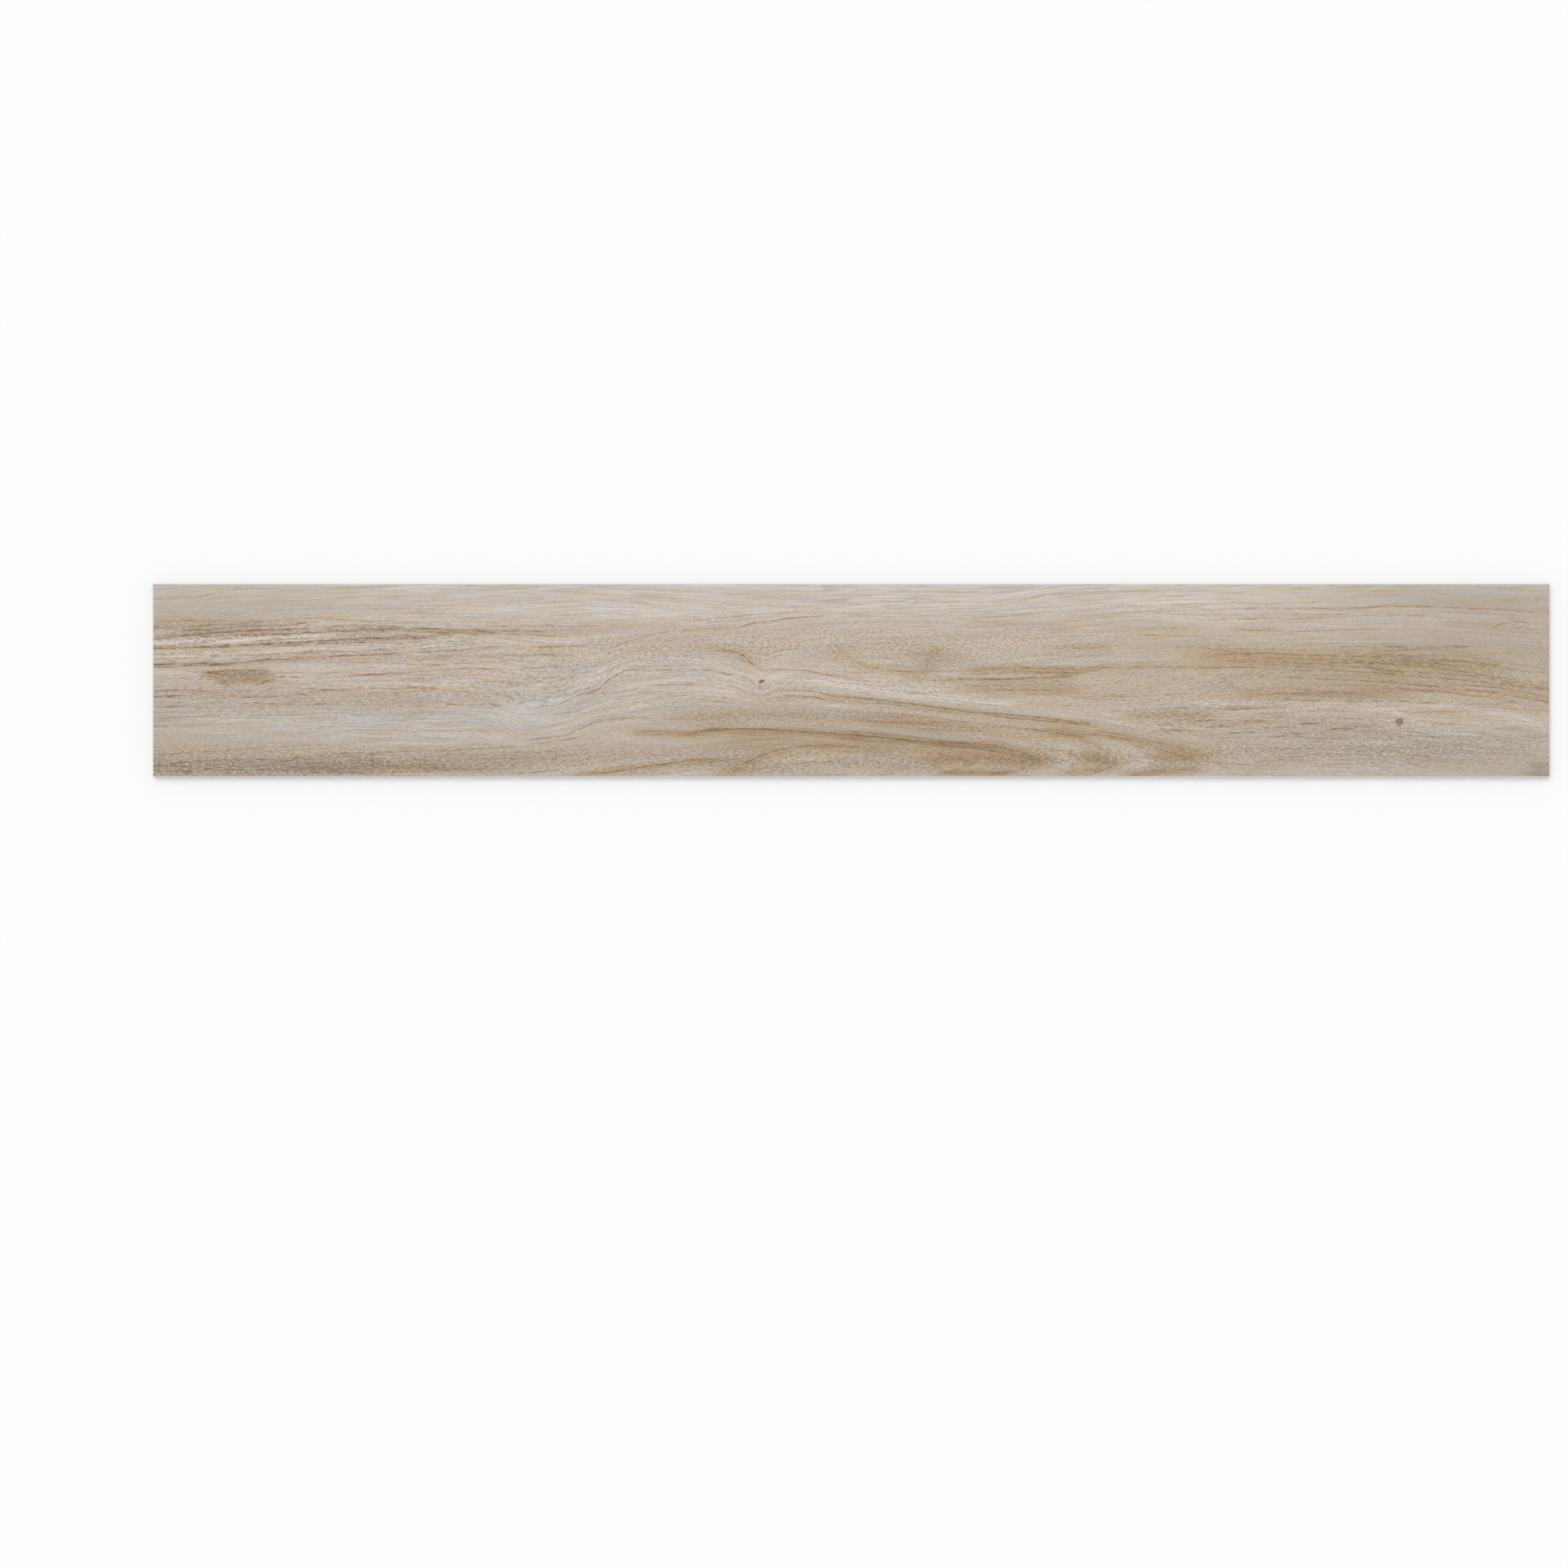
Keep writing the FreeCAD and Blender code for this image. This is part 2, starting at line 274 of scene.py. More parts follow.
# Thin lines of the figure: (strength, course).
inkLines = (
    # upper strip
    (0.35, ((189, 737), (244, 734), (285, 727), (315, 724))),
    (0.30, ((361, 727), (415, 725), (497, 722))),
    (0.25, ((690, 728), (780, 734), (845, 739), (887, 745), (925, 746), (995, 747), (1045, 744))),
    (0.32, ((1025, 742), (1087, 741), (1217, 742), (1250, 738), (1310, 731), (1395, 728), (1465, 722))),
    (0.30, ((189, 766), (247, 764), (325, 765), (375, 762), (435, 764), (497, 766), (560, 767))),
    (0.30, ((1220, 760), (1275, 756), (1325, 752), (1400, 747), (1465, 745))),
    (0.50, ((1475, 752), (1537, 750), (1600, 749.5), (1675, 749), (1712, 747), (1775, 748), (1850, 751),
            (1910, 756))),
    (0.28, ((1300, 757), (1400, 753), (1475, 757), (1600, 756), (1700, 758), (1800, 760))),
    (0.25, ((1520, 736), (1600, 726), (1657, 719))),
    # brown bundle at the left end
    (0.45, ((189, 774), (235, 772), (292, 769), (322, 765))),
    (0.55, ((215, 777), (250, 776), (300, 772), (345, 770), (392, 766))),
    (0.85, ((189, 787.5), (215, 785), (245, 782), (275, 779), (310, 776.5), (345, 776), (392, 773))),
    (0.70, ((238, 785), (290, 782), (332, 782), (397, 779), (425, 777.5), (495, 775))),
    (0.70, ((385, 773.5), (440, 770.5), (495, 773), (540, 775), (575, 777), (625, 777.5), (680, 778))),
    (0.65, ((440, 774), (470, 775), (520, 778), (570, 780), (625, 781), (700, 784))),
    (0.45, ((560, 771), (620, 772), (700, 771), (760, 770))),
    (0.80, ((189, 799), (225, 798), (260, 797), (315, 794), (350, 792), (392, 790), (425, 787.5), (495, 785),
            (555, 780.5))),
    (0.55, ((330, 797), (400, 793), (460, 790), (495, 787), (540, 785))),
    (0.35, ((189, 806), (240, 806), (300, 805))),
    (0.40, ((189, 812), (230, 811), (262, 809), (330, 806), (390, 803))),
    (0.85, ((189, 819), (225, 817.5), (270, 818), (300, 817))),
    (0.60, ((189, 822), (210, 822), (235, 820), (290, 820))),
    (0.65, ((290, 816), (335, 813), (360, 811.5), (405, 809), (450, 807), (490, 805.5))),
    (0.40, ((360, 806), (420, 803), (485, 801))),
    (0.95, ((515, 804.5), (533, 803.5))),
    (0.50, ((536, 803), (575, 800), (625, 796), (680, 797), (725, 796))),
    (0.40, ((505, 812), (560, 809), (625, 808), (680, 806))),
    (0.45, ((480, 817), (530, 819), (595, 816), (650, 814))),
    (0.50, ((420, 833), (480, 830), (530, 827), (585, 823), (625, 824), (700, 822))),
    (0.40, ((500, 836), (540, 834), (600, 831))),
    # short knot figure at the left
    (0.50, ((246, 831), (262, 834), (276, 836))),
    (0.75, ((266, 838.5), (280, 840))),
    (0.90, ((269, 842), (286, 843.5))),
    (0.80, ((274, 845.5), (285, 846))),
    (0.60, ((284, 836), (298, 833.5))),
    (0.60, ((262, 830), (280, 831))),
    (0.85, ((246, 829), (262, 828), (285, 826), (325, 826), (334, 829.5), (339, 833.5))),
    (0.80, ((300, 842), (320, 843), (331, 839), (339, 834.5))),
    (0.75, ((338, 834.5), (348, 834), (374, 835))),
    (0.55, ((285, 838), (305, 835), (322, 834))),
    (0.55, ((189, 852), (220, 850), (262, 852))),
    (0.75, ((189, 858), (215, 857), (240, 857))),
    (0.45, ((250, 859), (300, 856), (340, 858), (372, 857))),
    (0.50, ((368, 848), (410, 850), (440, 849), (505, 848))),
    (0.55, ((350, 864), (372, 863))),
    (0.65, ((383, 868), (405, 866.5))),
    (0.50, ((440, 867), (462, 868))),
    (0.45, ((480, 854), (540, 851), (600, 854))),
    (0.45, ((189, 871), (225, 870), (262, 872))),
    (0.35, ((189, 885), (230, 883), (281, 881))),
    (0.35, ((189, 895), (250, 893), (340, 890))),
    (0.30, ((300, 883), (360, 880), (430, 878))),
    (0.40, ((420, 901), (445, 900), (500, 899))),
    (0.35, ((510, 899), (620, 901))),
    # rough brown band at the lower left
    (0.40, ((189, 930), (272, 925), (340, 920), (410, 917))),
    (0.55, ((189, 944), (240, 938), (285, 936), (345, 935), (400, 930), (460, 927), (560, 924), (640, 920))),
    (0.60, ((330, 939), (400, 934), (470, 929))),
    (0.55, ((385, 948), (405, 944), (430, 938), (470, 935))),
    (0.50, ((400, 950), (440, 952), (520, 951), (600, 948))),
    (0.70, ((193, 946), (215, 944), (238, 945))),
    (0.60, ((203, 951), (237, 950))),
    (0.70, ((244, 943), (277, 941))),
    (0.65, ((262, 949), (302, 948))),
    (0.65, ((308, 944), (347, 942))),
    (0.60, ((328, 950), (374, 949))),
    (0.55, ((288, 953), (332, 953))),
    (0.60, ((373, 941), (400, 939))),
    (0.55, ((410, 948), (442, 946))),
    (0.55, ((443, 941), (482, 940))),
    (0.50, ((453, 948), (502, 946))),
    (0.45, ((505, 943), (547, 941))),
    (0.45, ((518, 948), (572, 946))),
    # the tall arc and the two knots' figure in the middle
    (0.85, ((603, 866), (618, 872))),
    (0.65, ((547, 868), (572, 868))),
    (0.62, ((650, 875), (697, 864), (705, 859), (735, 851), (745, 842), (760, 831), (775, 825), (812, 825.5),
            (842, 824.5), (875, 826), (892, 829.5), (912, 832.5), (927, 840), (935, 848))),
    (0.35, ((742, 843), (752, 836), (768, 828))),
    (0.40, ((710, 856), (780, 850), (790, 845), (820, 844), (875, 843), (900, 846), (920, 854), (937, 859))),
    (0.32, ((742, 875), (785, 865), (822, 859), (855, 855))),
    (0.40, ((740, 802), (787, 787), (817, 779), (875, 775), (905, 774))),
    (0.80, ((905, 774), (930, 768), (955, 764.5), (967, 762.5), (995, 760), (1020, 758))),
    (0.35, ((820, 768), (855, 762.5), (892, 761), (930, 757), (995, 753))),
    (0.85, ((888, 800), (907, 804), (917, 808), (923, 815), (930, 820), (941, 827))),
    (0.55, ((907, 806), (915, 813), (924, 820))),
    (0.55, ((941, 827), (960, 824.5), (990, 826), (1015, 830.5), (1045, 836), (1070, 840))),
    (0.80, ((955, 850), (995, 851), (1030, 857.5), (1070, 861), (1112, 866), (1150, 871), (1200, 877.5),
            (1250, 881), (1300, 886), (1345, 891))),
    (0.55, ((960, 857), (995, 858), (1030, 864), (1090, 867), (1145, 875), (1200, 880))),
    (0.45, ((937, 866), (955, 860), (995, 861))),
    (0.90, ((1210, 880), (1250, 885), (1300, 889), (1345, 893))),
    (0.55, ((1175, 888), (1250, 896), (1287, 900), (1320, 906), (1340, 908))),
    (0.60, ((1340, 903), (1365, 907), (1398, 913))),
    (0.45, ((1345, 899), (1398, 908), (1440, 918), (1470, 926))),
    (0.55, ((1035, 803), (1045, 809), (1052, 814), (1075, 822), (1100, 826), (1139, 829))),
    (0.55, ((1150, 807), (1143, 818), (1140, 828), (1142, 836))),
    (0.55, ((860, 864), (880, 863.5), (900, 865))),
    (0.70, ((680, 881), (700, 878), (718, 876))),
    (0.40, ((705, 901), (720, 895), (745, 887), (770, 884), (800, 884))),
    (0.80, ((645, 913), (665, 910), (697, 906), (710, 901))),
    (0.55, ((648, 917), (700, 911), (720, 906))),
    (0.55, ((630, 954), (660, 951), (692, 949))),
    # the strong band and the row of points
    (0.70, ((845, 906), (880, 899), (930, 898), (980, 901), (1045, 905), (1085, 909))),
    (0.65, ((1040, 900), (1085, 905), (1120, 912), (1150, 914), (1210, 916))),
    (0.65, ((1150, 918), (1190, 921), (1240, 928), (1270, 935), (1282, 938))),
    (0.60, ((1215, 917), (1250, 925), (1277, 934), (1285, 938))),
    (0.50, ((1280, 940), (1250, 950), (1215, 955))),
    (0.55, ((1330, 908), (1350, 918), (1365, 928), (1376, 937), (1362, 948), (1340, 955))),
    (0.45, ((1420, 920), (1450, 930), (1477, 938))),
    (0.90, ((725, 954), (745, 952), (780, 947), (800, 944), (830, 940), (855, 936), (885, 935))),
    (0.65, ((902, 952), (920, 940), (935, 932), (960, 924), (995, 919), (1045, 918))),
    (0.50, ((990, 923), (1015, 921), (1050, 920), (1085, 922))),
    # golden bundles on the right
    (0.75, ((1165, 837), (1200, 836.5), (1230, 837), (1277, 835), (1326, 833))),
    (0.60, ((1195, 829), (1230, 824), (1290, 823), (1330, 825))),
    (0.55, ((1180, 832), (1240, 830), (1300, 829), (1340, 829))),
    (0.45, ((1195, 845), (1240, 844), (1325, 843))),
    (0.45, ((1200, 851), (1260, 850), (1320, 851))),
    (0.50, ((1290, 822), (1357, 822), (1465, 822), (1490, 822))),
    (0.55, ((1312, 799), (1340, 799), (1362, 796))),
    (0.50, ((1400, 776), (1430, 774), (1465, 775))),
    (0.45, ((1400, 783), (1465, 783), (1500, 787), (1525, 793))),
    (0.35, ((1320, 859), (1375, 858), (1465, 855))),
    (0.60, ((1425, 874), (1465, 872), (1520, 874), (1575, 870))),
    (0.55, ((1415, 903), (1440, 900), (1470, 900))),
    (0.55, ((1472, 765), (1520, 763), (1580, 763), (1630, 761))),
    (0.60, ((1525, 775), (1550, 777), (1566, 775))),
    (0.40, ((1590, 778), (1640, 777), (1700, 774))),
    (0.60, ((1500, 800), (1515, 803), (1530, 806), (1545, 808))),
    (0.55, ((1505, 806), (1560, 805), (1600, 807), (1650, 808), (1712, 810))),
    (0.50, ((1508, 814), (1560, 815), (1610, 817), (1660, 821), (1720, 824))),
    (0.65, ((1475, 823), (1535, 822), (1580, 824))),
    (0.60, ((1580, 826), (1640, 826), (1690, 829), (1740, 833), (1800, 838), (1850, 843), (1910, 849))),
    (0.55, ((1600, 819), (1660, 816), (1730, 819), (1790, 826), (1850, 835), (1910, 842))),
    (0.60, ((1690, 825), (1740, 828), (1815, 833), (1870, 841))),
    (0.45, ((1478, 799), (1500, 801), (1520, 801))),
    (0.40, ((1520, 799), (1560, 800), (1600, 801), (1640, 801))),
    (0.40, ((1560, 811), (1610, 812), (1650, 813), (1690, 815))),
    (0.40, ((1530, 819), (1570, 819), (1610, 822), (1650, 824))),
    (0.35, ((1650, 804), (1700, 806), (1760, 807), (1800, 808))),
    (0.35, ((1700, 814), (1760, 817), (1810, 822))),
    (0.40, ((1720, 811), (1790, 814), (1840, 820), (1890, 829))),
    (0.35, ((1210, 824), (1240, 822), (1275, 822))),
    (0.35, ((1220, 828), (1260, 827), (1300, 828))),
    (0.30, ((1205, 841), (1260, 840), (1320, 839))),
    (0.30, ((1210, 854), (1270, 855), (1320, 856))),
    (0.55, ((1780, 841), (1840, 847), (1880, 853), (1910, 859))),
    (0.60, ((1560, 833), (1620, 836), (1700, 840), (1780, 847), (1850, 855), (1910, 866))),
    (0.55, ((1700, 848), (1760, 851), (1820, 858), (1870, 866), (1910, 877))),
    (0.45, ((1640, 843), (1700, 845), (1740, 848))),
    (0.55, ((1545, 856), (1600, 854), (1640, 853), (1690, 855))),
    (0.50, ((1560, 862), (1620, 863), (1720, 864), (1775, 867))),
    (0.45, ((1690, 803), (1730, 801), (1770, 799), (1814, 797))),
    (0.55, ((1700, 797), (1740, 797), (1790, 796.5), (1816, 796))),
    (0.50, ((1640, 797), (1670, 796), (1700, 800), (1720, 806))),
    (0.35, ((1830, 806), (1860, 804), (1880, 806))),
    (0.45, ((1836, 775), (1850, 769), (1870, 766), (1885, 768))),
    (0.40, ((1858, 779), (1875, 772), (1890, 776))),
    (0.60, ((1560, 908), (1590, 907), (1620, 910), (1660, 911))),
    # row of dark dashes under them
    (0.85, ((1425, 893), (1453, 891))),
    (0.85, ((1438, 900), (1464, 899))),
    (0.85, ((1468, 888), (1502, 887))),
    (0.85, ((1484, 896), (1522, 895))),
    (0.85, ((1510, 903), (1547, 902))),
    (0.85, ((1528, 889), (1562, 888))),
    (0.85, ((1555, 897), (1592, 896))),
    (0.85, ((1580, 904), (1614, 904))),
    (0.85, ((1600, 892), (1634, 891))),
    (0.85, ((1638, 898), (1670, 897))),
    # lower right
    (0.40, ((1475, 909), (1520, 909), (1560, 908))),
    (0.35, ((1690, 928), (1712, 925), (1750, 931), (1780, 927))),
    (0.40, ((1725, 936), (1745, 943), (1770, 950))),
    (0.40, ((1737, 879), (1760, 877), (1790, 877))),
)

# Short straight strokes that break up the rough left end: (strength, from x, y, to x, y).
shortStrokes = (
    # brown bundle
    (0.60, 189, 773, 200, 770.5), (0.45, 240, 770, 272, 769), (0.45, 331, 766.5, 352, 765),
    (0.80, 222, 782.5, 236, 781), (0.85, 236, 780.8, 266, 780), (0.70, 206, 783.5, 218, 783),
    (0.80, 245, 784.4, 257, 783.8), (0.80, 280, 779.5, 302, 778), (0.85, 304, 776.8, 329, 776),
    (0.60, 329, 775.8, 342, 775), (0.80, 349, 774.8, 359, 774.4), (0.60, 292, 782.6, 304, 782.2),
    (0.60, 307, 783.5, 320, 783.2), (0.80, 337, 781.4, 357, 780.6), (0.50, 370, 779.2, 387, 778.8),
    (0.90, 400, 774.2, 420, 777), (0.70, 440, 772.6, 462, 772), (0.70, 465, 773.4, 490, 774.4),
    (0.90, 500, 775.6, 545, 775), (0.50, 464, 779, 476, 778.4), (0.85, 392, 791, 430, 786.4),
    (0.80, 432, 786, 475, 785.4), (0.80, 485, 784, 510, 782.3), (0.90, 507, 785, 518, 788),
    (0.80, 537, 780, 562, 778), (0.90, 585, 777.5, 610, 779.5), (0.80, 595, 781, 608, 781.5),
    (0.90, 436, 792, 450, 791.4), (0.70, 390, 793.9, 405, 793.5), (0.60, 540, 782.9, 565, 782.6),
    (0.50, 575, 782.2, 592, 781.8), (0.80, 618, 771.5, 629, 771.1), (0.50, 630, 775.2, 642, 774.8),
    (0.60, 670, 770.3, 682, 769.8),
    # second line and the rows under it
    (0.90, 189, 799.2, 200, 798.6), (0.90, 243, 796.2, 255, 795.8), (0.95, 258, 798.4, 284, 797),
    (0.70, 275, 795.3, 286, 794.8), (0.95, 297, 795.4, 312, 794.6), (0.90, 320, 794.3, 336, 792.6),
    (0.90, 352, 791.2, 363, 790.8), (0.70, 370, 791.4, 383, 790.6), (0.60, 354, 794.2, 369, 793.8),
    (0.45, 275, 803.2, 292, 802.8), (0.60, 257, 808.2, 272, 807.8), (0.80, 205, 813.4, 219, 815),
    (0.90, 190, 818.7, 207, 818.3), (0.70, 198, 820.8, 209, 820.5), (0.80, 224, 818.9, 236, 820.4),
    (0.75, 236, 817.2, 263, 816.8), (1.00, 256, 819.4, 277, 818.3), (0.60, 279, 816.9, 297, 816),
    (0.60, 310, 814.3, 329, 813.8), (0.75, 319, 811.8, 335, 811.4), (0.60, 285, 812.3, 296, 811.8),
    (0.50, 337, 812.4, 357, 811.8), (0.60, 363, 811.2, 379, 810.8), (0.70, 405, 808.6, 437, 807),
    (0.60, 440, 807.4, 465, 807), (0.70, 468, 806.3, 492, 805.8), (0.60, 514, 800.8, 526, 800.3),
    (0.60, 555, 801.3, 571, 800.8), (0.50, 572, 801.2, 610, 800), (0.60, 655, 797.8, 700, 796.3),
    (0.50, 668, 805.8, 692, 805.3),
    # rows of the middle
    (0.60, 213, 831.2, 229, 830.8), (0.50, 417, 819.7, 440, 819.3), (0.50, 445, 831, 475, 830.5),
    (0.60, 478, 829.5, 494, 829.1), (0.50, 502, 832, 540, 831.5), (0.60, 528, 820.4, 545, 819.7),
    (0.50, 585, 839.8, 615, 839.3), (0.50, 622, 842, 642, 840.5), (0.50, 655, 823.6, 690, 821),
    (0.60, 330, 848.2, 342, 847.8), (0.60, 378, 847.8, 390, 847.2), (0.70, 391, 851.2, 406, 850.5),
    (0.60, 298, 851.3, 311, 850.7), (0.60, 322, 850.4, 338, 850.8), (0.80, 189, 858.2, 200, 857.8),
    (0.60, 203, 858.5, 215, 858.1), (0.70, 293, 858.8, 336, 859.8), (0.50, 362, 855, 384, 856.6),
    (0.70, 430, 847.3, 448, 846.8), (0.60, 452, 847.2, 466, 846.8), (0.80, 499, 847, 516, 847),
    (0.80, 519, 847.4, 541, 848.5), (0.50, 450, 854.2, 495, 853.8), (0.60, 309, 866, 321, 865.5),
    (0.60, 331, 867.2, 342, 866.8), (0.80, 352, 867.3, 364, 866.9), (0.80, 389, 869, 401, 868.5),
    (0.60, 409, 867.2, 420, 866.8), (0.60, 434, 865.3, 446, 864.9), (0.70, 202, 870.5, 223, 871.7),
    (0.50, 238, 872, 250, 872.2), (0.60, 510, 870.4, 525, 869.7), (0.80, 549, 868.6, 562, 868.1),
    (0.60, 576, 868.3, 588, 868), (0.70, 589, 868.2, 605, 867.8), (0.90, 602, 867.5, 613, 871),
    # rough band at the lower side
    (0.80, 190, 936.8, 206, 936.4), (0.70, 214, 939.6, 232, 939), (0.80, 246, 947.4, 262, 946.8),
    (0.75, 222, 951.8, 240, 951.2), (0.80, 270, 952.6, 288, 952), (0.70, 280, 944.2, 296, 943.6),
    (0.75, 316, 948.6, 334, 948), (0.70, 352, 946.2, 370, 945.6), (0.75, 378, 951.8, 398, 951.2),
    (0.60, 300, 939.4, 318, 939), (0.60, 420, 951.4, 440, 951), (0.60, 470, 943.6, 490, 943),
)

